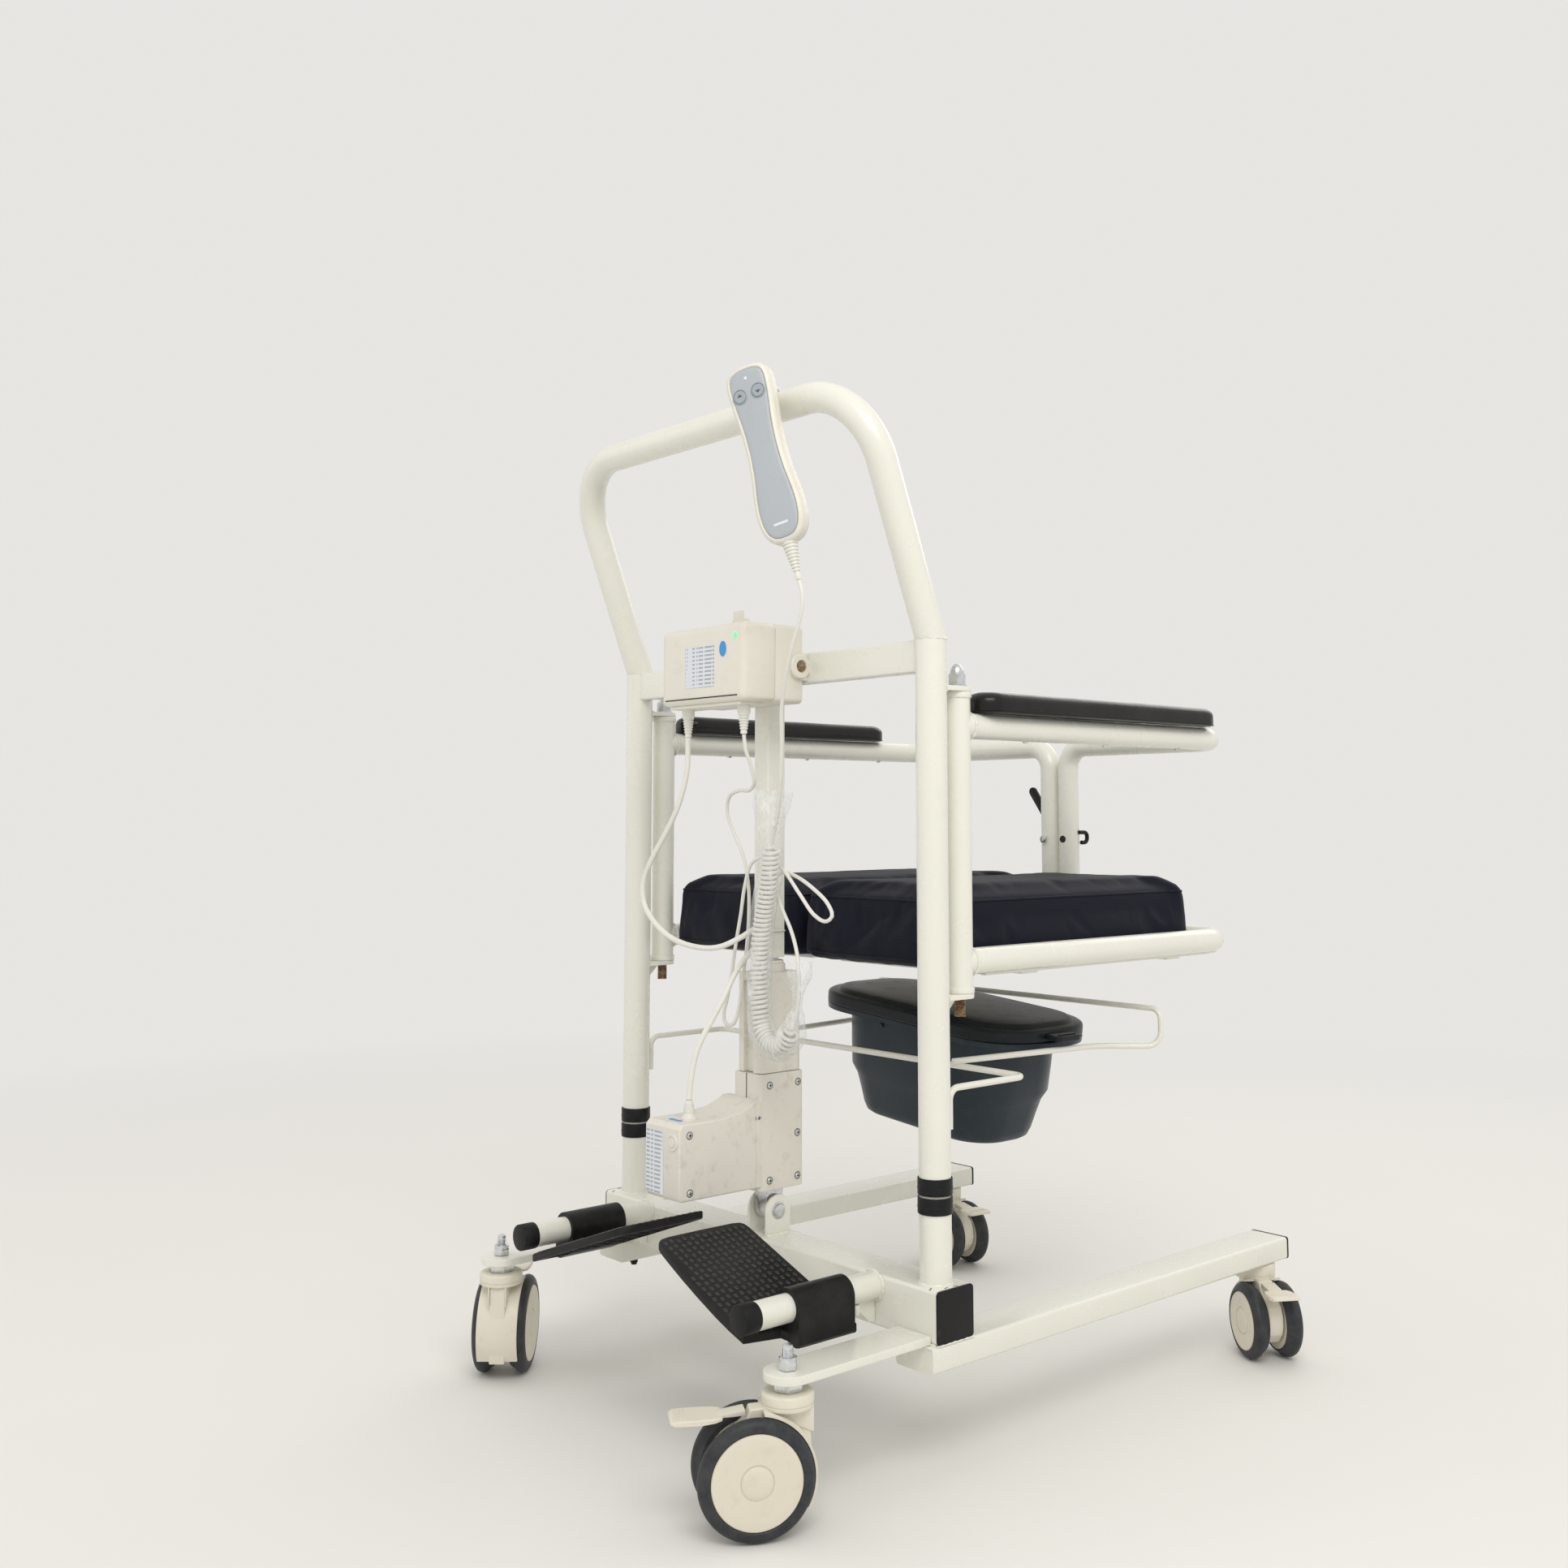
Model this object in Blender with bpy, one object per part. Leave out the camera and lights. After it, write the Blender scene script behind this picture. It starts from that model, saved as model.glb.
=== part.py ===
"""Electric patient lift with a split swing seat, for Blender 4.5.

The chair rolls on four braked twin-wheel casters.  A linear actuator raises
the upper frame, which carries the seat, on two telescopic posts.  Metres,
+Z up, the front (foot tubes and motor) faces -Y.  The origin is on the floor
under the middle of the whole chair.
"""
import math

import bmesh
import bpy
from mathutils import Vector

# ---- driving dimensions, metres, measured from the plane of the uprights ----
FRAME_SHIFT = Vector((0.0009, -0.1708, 0.0))   # puts the middle of the chair over the origin
GAP = 0.0003                   # clearance kept between neighbouring solids
LIFT_STROKE = 0.25
SIDES = 16                     # facets round a frame tube
BEND_STEPS = 4                 # facets along a bend

UPRIGHT_X = 0.305              # half the distance between upright centres
TUBE_R = 0.019                 # upright and handle tube, outside
TUBE_WALL = 0.002
GUIDE_R = 0.0167               # telescopic guide inside the upright
GUIDE_TOP = 0.850
UPRIGHT_BOTTOM = 0.3127
UPRIGHT_TOP = 0.965
COLLAR_R = 0.0208
COLLAR_HEIGHT = 0.0195

BEAM_HALF = 0.334              # half length of the cross beam, without its caps
BEAM_DEPTH = 0.060
BEAM_BOTTOM = 0.153
BEAM_TOP = 0.213
BEAM_WALL = 0.0025
CAP_THICKNESS = 0.003

LEG_INNER_X = 0.277
LEG_OUTER_X = 0.337
LEG_BOTTOM = 0.123
LEG_FRONT_Y = -0.038
LEG_REAR_Y = 0.683
OUTRIGGER_WIDTH = 0.054
OUTRIGGER_TOP = 0.163

FOOT_TUBE_X = 0.232
FOOT_TUBE_Z = 0.200
FOOT_TUBE_R = 0.016
FOOT_TUBE_END = -0.2127
FOOTPLATE_RISE = math.radians(19.8)

CROSSBAR_BOTTOM = 0.925
CROSSBAR_DEPTH = 0.020
COLUMN_SIDE = 0.030
COLUMN_BOTTOM = 0.5665

HANDLE_LENGTH = 0.316          # along the slope, to the middle of the top tube
HANDLE_LEAN = math.radians(21.0)
HANDLE_BEND = 0.095

ACTUATOR_BORE = 0.0135
ROD_R = 0.0125
HOUSING_TOP = 0.420
PROFILE_TOP = 0.548
PIN_Z = 0.243

HINGE_Y = 0.045
SWING_R = 0.016
ARMREST_Z = 0.862
SEAT_Z = 0.577
SWING_REAR_Y = 0.598
SWING_INNER_X = 0.018
LOWER_BRACKET = (0.5345, 0.5405)
UPPER_BRACKET = (0.9030, 0.9090)
HINGE_BOLT_R = 0.007

RAIL_R = 0.004
RAIL_Z = 0.430
BUCKET_CENTRE = Vector((0.0, 0.345, 0.4620))
BUCKET_TILT = math.radians(5.0)

FRONT_STEM = Vector((0.300, -0.221))
REAR_STEM = Vector((0.307, 0.643))
FRONT_CASTER = dict(wheel_r=0.0625, trail=0.038, seat=0.1522, pedal_reach=0.127, hub_r=0.047)
REAR_CASTER = dict(wheel_r=0.0500, trail=0.032, seat=0.1227, pedal_reach=0.104, hub_r=0.037)
CASTER_HEADINGS = {
    "front_left": 138.0,
    "front_right": -120.0,
    "rear_left": -8.9,
    "rear_right": -31.9,
}

CONTROL_BOX_X = (-0.090, 0.086)
CONTROL_BOX_Y = (-0.115, -0.0155)
CONTROL_BOX_Z = (0.898, 1.000)
CONTROL_BOX_SPLIT = -0.062
MOTOR_PLUG = Vector((-0.062, -0.090))
HANDSET_PLUG = Vector((0.057, -0.090))
PLUG_LENGTH = 0.040

HANDSET_TOP = Vector((0.156, -0.158, 1.308))
HANDSET_BOTTOM = Vector((0.220, -0.158, 1.066))
HANDSET_YAW = math.radians(24.0)

MOTOR_CABLE_R = 0.0036
HANDSET_CABLE_R = 0.0024
COIL_R = 0.012

# colour, roughness, metallic
MATERIALS = {
    "white_paint": ((0.86, 0.86, 0.80), 0.30, 0.0),
    "cream_plastic": ((0.80, 0.77, 0.67), 0.45, 0.0),
    "black_plastic": ((0.015, 0.015, 0.016), 0.40, 0.0),
    "black_rubber": ((0.02, 0.02, 0.022), 0.65, 0.0),
    "tyre_grey": ((0.05, 0.055, 0.06), 0.60, 0.0),
    "steel": ((0.62, 0.62, 0.62), 0.28, 1.0),
    "rusty_steel": ((0.20, 0.12, 0.06), 0.70, 0.6),
    "pad_black": ((0.012, 0.011, 0.010), 0.25, 0.0),
    "navy_fabric": ((0.012, 0.014, 0.032), 0.75, 0.0),
    "slate_plastic": ((0.045, 0.060, 0.070), 0.40, 0.0),
    "cable_white": ((0.78, 0.76, 0.70), 0.45, 0.0),
    "button_grey": ((0.42, 0.47, 0.50), 0.40, 0.0),
}


# ---------------------------------------------------------------- helpers
def clear_scene():
    for item in list(bpy.data.objects):
        bpy.data.objects.remove(item, do_unlink=True)


def make_material(name):
    colour, roughness, metallic = MATERIALS[name]
    material = bpy.data.materials.get(name) or bpy.data.materials.new(name)
    material.use_nodes = True
    shader = material.node_tree.nodes["Principled BSDF"]
    shader.inputs["Base Color"].default_value = (*colour, 1.0)
    shader.inputs["Roughness"].default_value = roughness
    shader.inputs["Metallic"].default_value = metallic
    return material


def make_object(name, bm, material=None, parent=None, sharp=35.0):
    """Turn a bmesh in the parent's frame into a named, smooth-shaded object."""
    bmesh.ops.remove_doubles(bm, verts=bm.verts, dist=1e-6)
    bmesh.ops.recalc_face_normals(bm, faces=bm.faces)
    mesh = bpy.data.meshes.new(name)
    bm.to_mesh(mesh)
    bm.free()
    item = bpy.data.objects.new(name, mesh)
    bpy.context.scene.collection.objects.link(item)
    if material:
        mesh.materials.append(make_material(material))
    if parent:
        item.parent = parent
    mesh.shade_smooth()
    mesh.set_sharp_from_angle(angle=math.radians(sharp))
    return item


def make_empty(name, parent, location, heading=0.0, tilt=0.0):
    """A frame to hang moving pieces on: turned about Z, then about its own Y."""
    empty = bpy.data.objects.new(name, None)
    empty.empty_display_size = 0.03
    bpy.context.scene.collection.objects.link(empty)
    empty.parent = parent
    empty.location = location
    empty.rotation_euler = (0.0, tilt, heading)
    return empty


def combine(target, tool, operation):
    """Join or cut the target with the tool, which is used up."""
    modifier = target.modifiers.new("combine", "BOOLEAN")
    modifier.operation = operation
    modifier.solver = "EXACT"
    modifier.object = tool
    bpy.context.view_layer.update()
    depsgraph = bpy.context.evaluated_depsgraph_get()
    mesh = bpy.data.meshes.new_from_object(target.evaluated_get(depsgraph))
    target.modifiers.clear()
    target.data = mesh
    bpy.data.objects.remove(tool, do_unlink=True)
    mesh.shade_smooth()
    mesh.set_sharp_from_angle(angle=math.radians(35.0))
    return target


def ring(bm, points):
    return [bm.verts.new(point) for point in points]


def bridge(bm, lower, upper):
    count = len(lower)
    for index in range(count):
        following = (index + 1) % count
        bm.faces.new((lower[index], lower[following], upper[following], upper[index]))


def loft(rings, closed=False):
    """A solid through a list of point rings, capped, or joined end to end."""
    bm = bmesh.new()
    loops = [ring(bm, points) for points in rings]
    for lower, upper in zip(loops, loops[1:]):
        bridge(bm, lower, upper)
    if closed:
        bridge(bm, loops[-1], loops[0])
    else:
        bm.faces.new(loops[0])
        bm.faces.new(loops[-1])
    return bm


def box(low, high):
    corners = [(low[0], low[1]), (high[0], low[1]), (high[0], high[1]), (low[0], high[1])]
    return loft([[(x, y, z) for x, y in corners] for z in (low[2], high[2])])


def slab(outline, axis, start, end):
    """Extrude a flat outline along an axis; the outline's two numbers are the other two."""
    def place(point, level):
        values = list(point)
        values.insert("xyz".index(axis), level)
        return tuple(values)
    return loft([[place(point, level) for point in outline] for level in (start, end)])


def circle(radius, sides, centre=(0.0, 0.0), start=0.0):
    step = math.tau / sides
    return [
        (centre[0] + radius * math.cos(start + step * i), centre[1] + radius * math.sin(start + step * i))
        for i in range(sides)
    ]


def rounded_outline(low, high, radius, steps=3):
    """A rectangle with round corners, as a list of points."""
    points = []
    centres = [
        (high[0] - radius, high[1] - radius),
        (low[0] + radius, high[1] - radius),
        (low[0] + radius, low[1] + radius),
        (high[0] - radius, low[1] + radius),
    ]
    for quarter, centre in enumerate(centres):
        for step in range(steps + 1):
            angle = math.pi / 2 * (quarter + step / steps)
            points.append((centre[0] + radius * math.cos(angle), centre[1] + radius * math.sin(angle)))
    return points


def turned(profile, sides=SIDES, hollow=False):
    """Turn (radius, z) points about Z; a hollow profile is a closed loop."""
    rings = [[(r * math.cos(a), r * math.sin(a), z) for a in angles(sides)] for r, z in profile]
    return loft(rings, closed=hollow)


def angles(sides):
    return [math.tau * i / sides for i in range(sides)]


def round_path(corners, radii, steps=BEND_STEPS):
    """Straight runs joined by arcs; radii are given for the inner corners."""
    corners = [Vector(corner) for corner in corners]
    points = [corners[0]]
    for before, corner, after, radius in zip(corners, corners[1:], corners[2:], radii):
        inward = (before - corner).normalized()
        outward = (after - corner).normalized()
        half = inward.angle(outward) / 2
        reach = radius / math.tan(half)
        centre = corner + (inward + outward).normalized() * (radius / math.sin(half))
        first = corner + inward * reach - centre
        last = corner + outward * reach - centre
        for step in range(steps + 1):
            points.append(centre + first.slerp(last, step / steps).normalized() * radius)
    points.append(corners[-1])
    return points


def sweep(points, radius, sides=SIDES, end_planes=None):
    """A round solid along a path; each end can be trimmed to a level plane z."""
    points = [Vector(point) for point in points]
    tangents = []
    for index, point in enumerate(points):
        before = points[max(index - 1, 0)]
        after = points[min(index + 1, len(points) - 1)]
        tangents.append((after - before).normalized())
    side = tangents[0].orthogonal().normalized()
    rings = []
    for index, (point, tangent) in enumerate(zip(points, tangents)):
        side = (side - tangent * side.dot(tangent)).normalized()
        up = tangent.cross(side)
        loop = [point + side * radius * math.cos(a) + up * radius * math.sin(a) for a in angles(sides)]
        if end_planes and index in (0, len(points) - 1):
            level = end_planes[0 if index == 0 else 1]
            loop = [p + tangent * ((level - p.z) / tangent.z) for p in loop]
        rings.append(loop)
    return loft(rings)


def pipe(name, points, radius, wall, material, parent, sides=SIDES, end_planes=None):
    """An open-ended round tube along a path."""
    outer = make_object(name, sweep(points, radius, sides, end_planes), material, parent)
    longer = [Vector(point) for point in points]
    longer[0] += (longer[0] - longer[1]).normalized() * 0.02
    longer[-1] += (longer[-1] - longer[-2]).normalized() * 0.02
    inner = make_object(name + "_bore", sweep(longer, radius - wall, sides), None, parent)
    return combine(outer, inner, "DIFFERENCE")


def mirrored(points, side):
    return [(side * point[0],) + tuple(point[1:]) for point in points]


def smooth_route(route, spacing):
    """Even points along a smooth curve (centripetal Catmull-Rom) through the route."""
    route = [Vector(point) for point in route]
    padded = [route[0] * 2 - route[1]] + route + [route[-1] * 2 - route[-2]]
    dense = []
    for p0, p1, p2, p3 in zip(padded, padded[1:], padded[2:], padded[3:]):
        t1 = math.sqrt((p1 - p0).length)
        t2 = t1 + math.sqrt((p2 - p1).length)
        t3 = t2 + math.sqrt((p3 - p2).length)
        for step in range(24):
            t = t1 + (t2 - t1) * step / 24
            a1 = p0 * ((t1 - t) / t1) + p1 * (t / t1)
            a2 = p1 * ((t2 - t) / (t2 - t1)) + p2 * ((t - t1) / (t2 - t1))
            a3 = p2 * ((t3 - t) / (t3 - t2)) + p3 * ((t - t2) / (t3 - t2))
            b1 = a1 * ((t2 - t) / t2) + a2 * (t / t2)
            b2 = a2 * ((t3 - t) / (t3 - t1)) + a3 * ((t - t1) / (t3 - t1))
            dense.append(b1 * ((t2 - t) / (t2 - t1)) + b2 * ((t - t1) / (t2 - t1)))
    dense.append(route[-1])
    lengths = [0.0]
    for before, after in zip(dense, dense[1:]):
        lengths.append(lengths[-1] + (after - before).length)
    count = max(2, round(lengths[-1] / spacing))
    points = []
    index = 0
    for step in range(count + 1):
        target = lengths[-1] * step / count
        while index < len(lengths) - 2 and lengths[index + 1] < target:
            index += 1
        span = lengths[index + 1] - lengths[index]
        points.append(dense[index].lerp(dense[index + 1], (target - lengths[index]) / span))
    return points


def cord_tube(name, route, radius, spacing, material, parent, resolution=2):
    """A plain tube along a smooth route, as a bevelled curve with filled ends."""
    curve = bpy.data.curves.new(name, "CURVE")
    curve.dimensions = "3D"
    curve.bevel_depth = radius
    curve.bevel_resolution = resolution
    curve.use_fill_caps = True
    curve.resolution_u = 1
    points = smooth_route(route, spacing)
    spline = curve.splines.new("POLY")
    spline.points.add(len(points) - 1)
    for slot, point in zip(spline.points, points):
        slot.co = (*point, 1.0)
    curve.materials.append(make_material(material))
    item = bpy.data.objects.new(name, curve)
    bpy.context.scene.collection.objects.link(item)
    item.parent = parent
    return item


# ---------------------------------------------------------------- base frame
def base_cross_beam(frame):
    half = BEAM_DEPTH / 2
    beam = make_object("base_cross_beam",
                       box((-BEAM_HALF, -half, BEAM_BOTTOM), (BEAM_HALF, half, BEAM_TOP)), "white_paint", frame)
    inner = half - BEAM_WALL
    hollow = box((-BEAM_HALF - 0.01, -inner, BEAM_BOTTOM + BEAM_WALL), (BEAM_HALF + 0.01, inner, BEAM_TOP - BEAM_WALL))
    combine(beam, make_object("beam_hollow", hollow, None, frame), "DIFFERENCE")
    for side in (-1, 1):
        arch = [(0.020 * math.cos(math.pi * i / 8), PIN_Z + 0.020 * math.sin(math.pi * i / 8)) for i in range(9)]
        outline = [(0.020, BEAM_TOP - 0.001)] + arch + [(-0.020, BEAM_TOP - 0.001)]
        ear = slab(outline, "x", side * 0.0155, side * 0.0195)
        combine(beam, make_object("clevis_ear", ear, None, frame), "UNION")
    bore = slab(circle(0.0053, 12, (0.0, PIN_Z)), "x", -0.03, 0.03)
    return combine(beam, make_object("pin_hole", bore, None, frame), "DIFFERENCE")


def beam_end_cap(side, label, frame):
    face = rounded_outline((-0.030, BEAM_BOTTOM), (0.030, BEAM_TOP), 0.004, 2)
    cap = make_object("beam_end_cap_" + label,
                      slab(face, "x", side * (BEAM_HALF + GAP), side * (BEAM_HALF + CAP_THICKNESS)),
                      "black_plastic", frame)
    inner = BEAM_DEPTH / 2 - BEAM_WALL - GAP
    low = BEAM_BOTTOM + BEAM_WALL + GAP
    plug = slab(rounded_outline((-inner, low), (inner, BEAM_TOP - BEAM_WALL - GAP), 0.003, 2), "x",
                side * (BEAM_HALF - 0.014), side * (BEAM_HALF + 0.001))
    return combine(cap, make_object("cap_plug", plug, None, frame), "UNION")


def base_leg(side, label, frame):
    top = BEAM_BOTTOM - GAP
    low_x, high_x = sorted((side * LEG_INNER_X, side * LEG_OUTER_X))
    leg = make_object("base_leg_" + label, box((low_x, LEG_FRONT_Y, LEG_BOTTOM), (high_x, LEG_REAR_Y, top)),
                      "white_paint", frame)
    wall = 0.002
    hollow = box((low_x + wall, LEG_FRONT_Y + 0.003, LEG_BOTTOM + wall), (high_x - wall, LEG_REAR_Y + 0.01, top - wall))
    combine(leg, make_object("leg_hollow", hollow, None, frame), "DIFFERENCE")
    half = OUTRIGGER_WIDTH / 2
    rear = -BEAM_DEPTH / 2 - GAP
    nose = [(side * FRONT_STEM.x + half * math.cos(math.pi + math.pi * i / 10),
             FRONT_STEM.y + half * math.sin(math.pi + math.pi * i / 10)) for i in range(11)]
    outline = nose + [(side * FRONT_STEM.x + half, rear), (side * FRONT_STEM.x - half, rear)]
    plate = slab(outline, "z", top - 0.0005, OUTRIGGER_TOP)
    combine(leg, make_object("outrigger", plate, None, frame), "UNION")
    hole = slab(circle(0.0063, 12, (side * FRONT_STEM.x, FRONT_STEM.y)), "z", 0.14, 0.18)
    return combine(leg, make_object("stem_hole", hole, None, frame), "DIFFERENCE")


def lower_post(side, label, frame):
    foot = BEAM_TOP + GAP
    shoulder = 0.3107
    bore = GUIDE_R - TUBE_WALL
    profile = [(TUBE_R, foot), (TUBE_R, shoulder), (GUIDE_R, shoulder), (GUIDE_R, GUIDE_TOP), (bore, GUIDE_TOP),
               (bore, foot)]
    post = make_object("lower_post_" + label, turned(profile, hollow=True), "white_paint", frame)
    post.location = (side * UPRIGHT_X, 0.0, 0.0)
    return post


def collar(name, side, bottom, parent):
    inside = TUBE_R + GAP
    top = bottom + COLLAR_HEIGHT
    profile = [(inside, bottom), (COLLAR_R, bottom), (COLLAR_R, top - 0.001), (COLLAR_R - 0.001, top), (inside, top)]
    ring_object = make_object(name, turned(profile, hollow=True), "black_plastic", parent)
    ring_object.location = (side * UPRIGHT_X, 0.0, 0.0)
    return ring_object


def foot_tube(side, label, frame):
    x = side * FOOT_TUBE_X
    rear = -BEAM_DEPTH / 2 - GAP
    tube = pipe("foot_tube_" + label, [(x, rear, FOOT_TUBE_Z), (x, FOOT_TUBE_END, FOOT_TUBE_Z)], FOOT_TUBE_R, 0.002,
                "white_paint", frame)
    under = FOOT_TUBE_Z - FOOT_TUBE_R + 0.001
    gusset = slab([(rear, under), (rear - 0.036, under), (rear - 0.008, 0.160), (rear, 0.160)], "x",
                  x - 0.002, x + 0.002)
    combine(tube, make_object("gusset", gusset, None, frame), "UNION")
    return tube


def foot_tube_cap(side, label, frame):
    profile = [(0.0164, -0.2130), (0.0168, -0.2140), (0.0168, -0.2340), (0.0156, -0.2352)]
    rings = [[(radius * math.cos(a), y, radius * math.sin(a)) for a in angles(SIDES)] for radius, y in profile]
    cap = make_object("foot_tube_cap_" + label, loft(rings), "black_rubber", frame)
    cap.location = (side * FOOT_TUBE_X, 0.0, FOOT_TUBE_Z)
    return cap


# ---------------------------------------------------------------- actuator
def motor_housing(frame):
    gearbox = slab(rounded_outline((-0.028, -0.038), (0.028, 0.036), 0.006, 2), "z", 0.272, HOUSING_TOP)
    housing = make_object("motor_housing", gearbox, "cream_plastic", frame)
    outline = [(-0.030, 0.278), (-0.162, 0.278), (-0.166, 0.284), (-0.166, 0.366), (-0.160, 0.372), (-0.100, 0.372),
               (-0.046, 0.388), (-0.030, 0.388)]
    combine(housing, make_object("motor_box", slab(outline, "x", -0.045, 0.0275), None, frame), "UNION")
    tongue = [(0.014 * math.cos(math.pi + math.pi * i / 8), PIN_Z + 0.014 * math.sin(math.pi + math.pi * i / 8))
              for i in range(9)]
    eye = slab(tongue + [(0.014, 0.274), (-0.014, 0.274)], "x", -0.012, 0.012)
    combine(housing, make_object("eye", eye, None, frame), "UNION")
    gland = turned([(0.009, 0.370), (0.009, 0.378), (0.0065, 0.380), (0.0050, 0.396)], 12)
    gland_object = make_object("gland", gland, None, frame)
    gland_object.location = (0.0, -0.131, 0.0)
    combine(housing, gland_object, "UNION")
    for bore in (
        slab(circle(ACTUATOR_BORE, 12), "z", 0.2855, 0.45),
        slab(circle(0.0053, 12, (0.0, PIN_Z)), "x", -0.03, 0.03),
    ):
        combine(housing, make_object("bore", bore, None, frame), "DIFFERENCE")
    return housing


def actuator_outer_tube(frame):
    profile = slab(rounded_outline((-0.025, -0.035), (0.025, 0.035), 0.008, 2), "z", HOUSING_TOP + GAP, PROFILE_TOP)
    tube = make_object("actuator_outer_tube", profile, "cream_plastic", frame)
    collar_ring = make_object("rod_collar", turned([(0.021, PROFILE_TOP - 0.001), (0.021, 0.561), (0.019, 0.563)]),
                              None, frame)
    combine(tube, collar_ring, "UNION")
    bore = slab(circle(ACTUATOR_BORE, 12), "z", 0.40, 0.60)
    return combine(tube, make_object("rod_bore", bore, None, frame), "DIFFERENCE")


def actuator_rod(lift):
    return make_object("actuator_rod", turned([(ROD_R, 0.2875), (ROD_R, COLUMN_BOTTOM - GAP)], 12), "steel", lift)


def actuator_pin(frame):
    head = 0.0225
    profile = [(0.008, -head), (0.008, -0.0198), (0.005, -0.0198), (0.005, 0.0198), (0.008, 0.0198), (0.008, head)]
    pin = make_object("actuator_pin", turned(profile, 12), "steel", frame)
    pin.rotation_euler = (0.0, math.pi / 2, 0.0)
    pin.location = (0.0, 0.0, PIN_Z)
    return pin


# ---------------------------------------------------------------- lifting frame
def hinge_bracket(side, levels, lift):
    """A flat lug with a round end, from the upright's rear wall to the hinge."""
    x = side * UPRIGHT_X
    half = 0.0165
    end = [(x + half * math.cos(math.pi * i / 8), HINGE_Y + half * math.sin(math.pi * i / 8)) for i in range(9)]
    outline = [(x + half, 0.0172)] + end + [(x - half, 0.0172)]
    return make_object("bracket", slab(outline, "z", *levels), None, lift)


def upright(side, label, lift):
    x = side * UPRIGHT_X
    bore = TUBE_R - TUBE_WALL
    profile = [(TUBE_R, UPRIGHT_BOTTOM), (TUBE_R, UPRIGHT_TOP), (bore, UPRIGHT_TOP), (bore, UPRIGHT_BOTTOM)]
    bm = turned(profile, hollow=True)
    bmesh.ops.translate(bm, vec=(x, 0.0, 0.0), verts=bm.verts)
    tube = make_object("upright_" + label, bm, "white_paint", lift)
    for levels in (LOWER_BRACKET, UPPER_BRACKET):
        combine(tube, hinge_bracket(side, levels, lift), "UNION")
    low = LOWER_BRACKET[0]
    web = slab([(0.0175, low + 0.001), (0.036, low + 0.001), (0.0175, low - 0.020)], "x", x - 0.0025, x + 0.0025)
    combine(tube, make_object("bracket_web", web, None, lift), "UNION")
    hole = slab(circle(HINGE_BOLT_R + GAP, 12, (x, HINGE_Y)), "z", 0.50, 0.95)
    return combine(tube, make_object("hinge_hole", hole, None, lift), "DIFFERENCE")


def crossbar_and_column(lift):
    half = CROSSBAR_DEPTH / 2
    wall = 0.002
    bar = box((-0.295, -half, CROSSBAR_BOTTOM), (0.295, half, UPRIGHT_TOP))
    frame = make_object("crossbar_and_column", bar, "white_paint", lift)
    side = COLUMN_SIDE / 2
    column = box((-side, -side, COLUMN_BOTTOM), (side, side, CROSSBAR_BOTTOM + 0.001))
    combine(frame, make_object("column", column, None, lift), "UNION")
    hollow = box((-0.31, -half + wall, CROSSBAR_BOTTOM + wall), (0.31, half - wall, UPRIGHT_TOP - wall))
    combine(frame, make_object("bar_hollow", hollow, None, lift), "DIFFERENCE")
    shaft = box((-half + wall, -half + wall, COLUMN_BOTTOM + 0.005), (half - wall, half - wall, 0.940))
    combine(frame, make_object("column_hollow", shaft, None, lift), "DIFFERENCE")
    for end in (-1, 1):
        cope = slab(circle(TUBE_R + 0.0006, SIDES, (end * UPRIGHT_X, 0.0)), "z", 0.90, 1.0)
        combine(frame, make_object("cope", cope, None, lift), "DIFFERENCE")
    return frame


def handle_tube(lift):
    slope = Vector((0.0, -math.sin(HANDLE_LEAN), math.cos(HANDLE_LEAN)))
    foot = UPRIGHT_TOP + GAP
    left = Vector((-UPRIGHT_X, 0.0, foot))
    right = Vector((UPRIGHT_X, 0.0, foot))
    rise = slope * HANDLE_LENGTH
    path = round_path([left, left + rise, right + rise, right], [HANDLE_BEND, HANDLE_BEND], 6)
    return pipe("handle_tube", path, TUBE_R, TUBE_WALL, "white_paint", lift, 12, end_planes=(foot, foot))


def control_box(lift):
    low, high = (CONTROL_BOX_X[0], CONTROL_BOX_Z[0]), (CONTROL_BOX_X[1], CONTROL_BOX_Z[1])
    shape = rounded_outline(low, high, 0.008, 2)
    make_object("control_box_back", slab(shape, "y", CONTROL_BOX_SPLIT + GAP, CONTROL_BOX_Y[1]), "cream_plastic", lift)
    middle = Vector(((low[0] + high[0]) / 2, (low[1] + high[1]) / 2))
    front = []
    for point in shape:
        offset = Vector(point) - middle
        front.append((middle.x + offset.x * 0.97, middle.y + offset.y * 0.95))
    levels = [(CONTROL_BOX_SPLIT, shape), (CONTROL_BOX_Y[0] + 0.008, shape), (CONTROL_BOX_Y[0], front)]
    bm = loft([[(x, y, z) for x, z in points] for y, points in levels])
    make_object("control_box_cover", bm, "cream_plastic", lift)


def din_plug(name, position, lift):
    top = CONTROL_BOX_Z[0] - GAP
    bottom = top - PLUG_LENGTH
    profile = [(0.0085, top), (0.0085, top - 0.013), (0.0070, top - 0.015), (0.0042, bottom)]
    plug = make_object(name, turned(profile, 12), "cable_white", lift)
    plug.location = (position.x, position.y, 0.0)
    return plug


def hinge_bolt(side, label, lift):
    plate = UPPER_BRACKET[1] + GAP
    profile = [(HINGE_BOLT_R, 0.513), (HINGE_BOLT_R, plate), (0.0115, plate), (0.0115, 0.921), (0.0100, 0.922),
               (0.0092, 0.931), (0.0060, 0.937), (0.0015, 0.939)]
    bolt = make_object("hinge_bolt_" + label, turned(profile, 12), "steel", lift)
    bolt.location = (side * UPRIGHT_X, HINGE_Y, 0.0)
    return bolt


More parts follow.
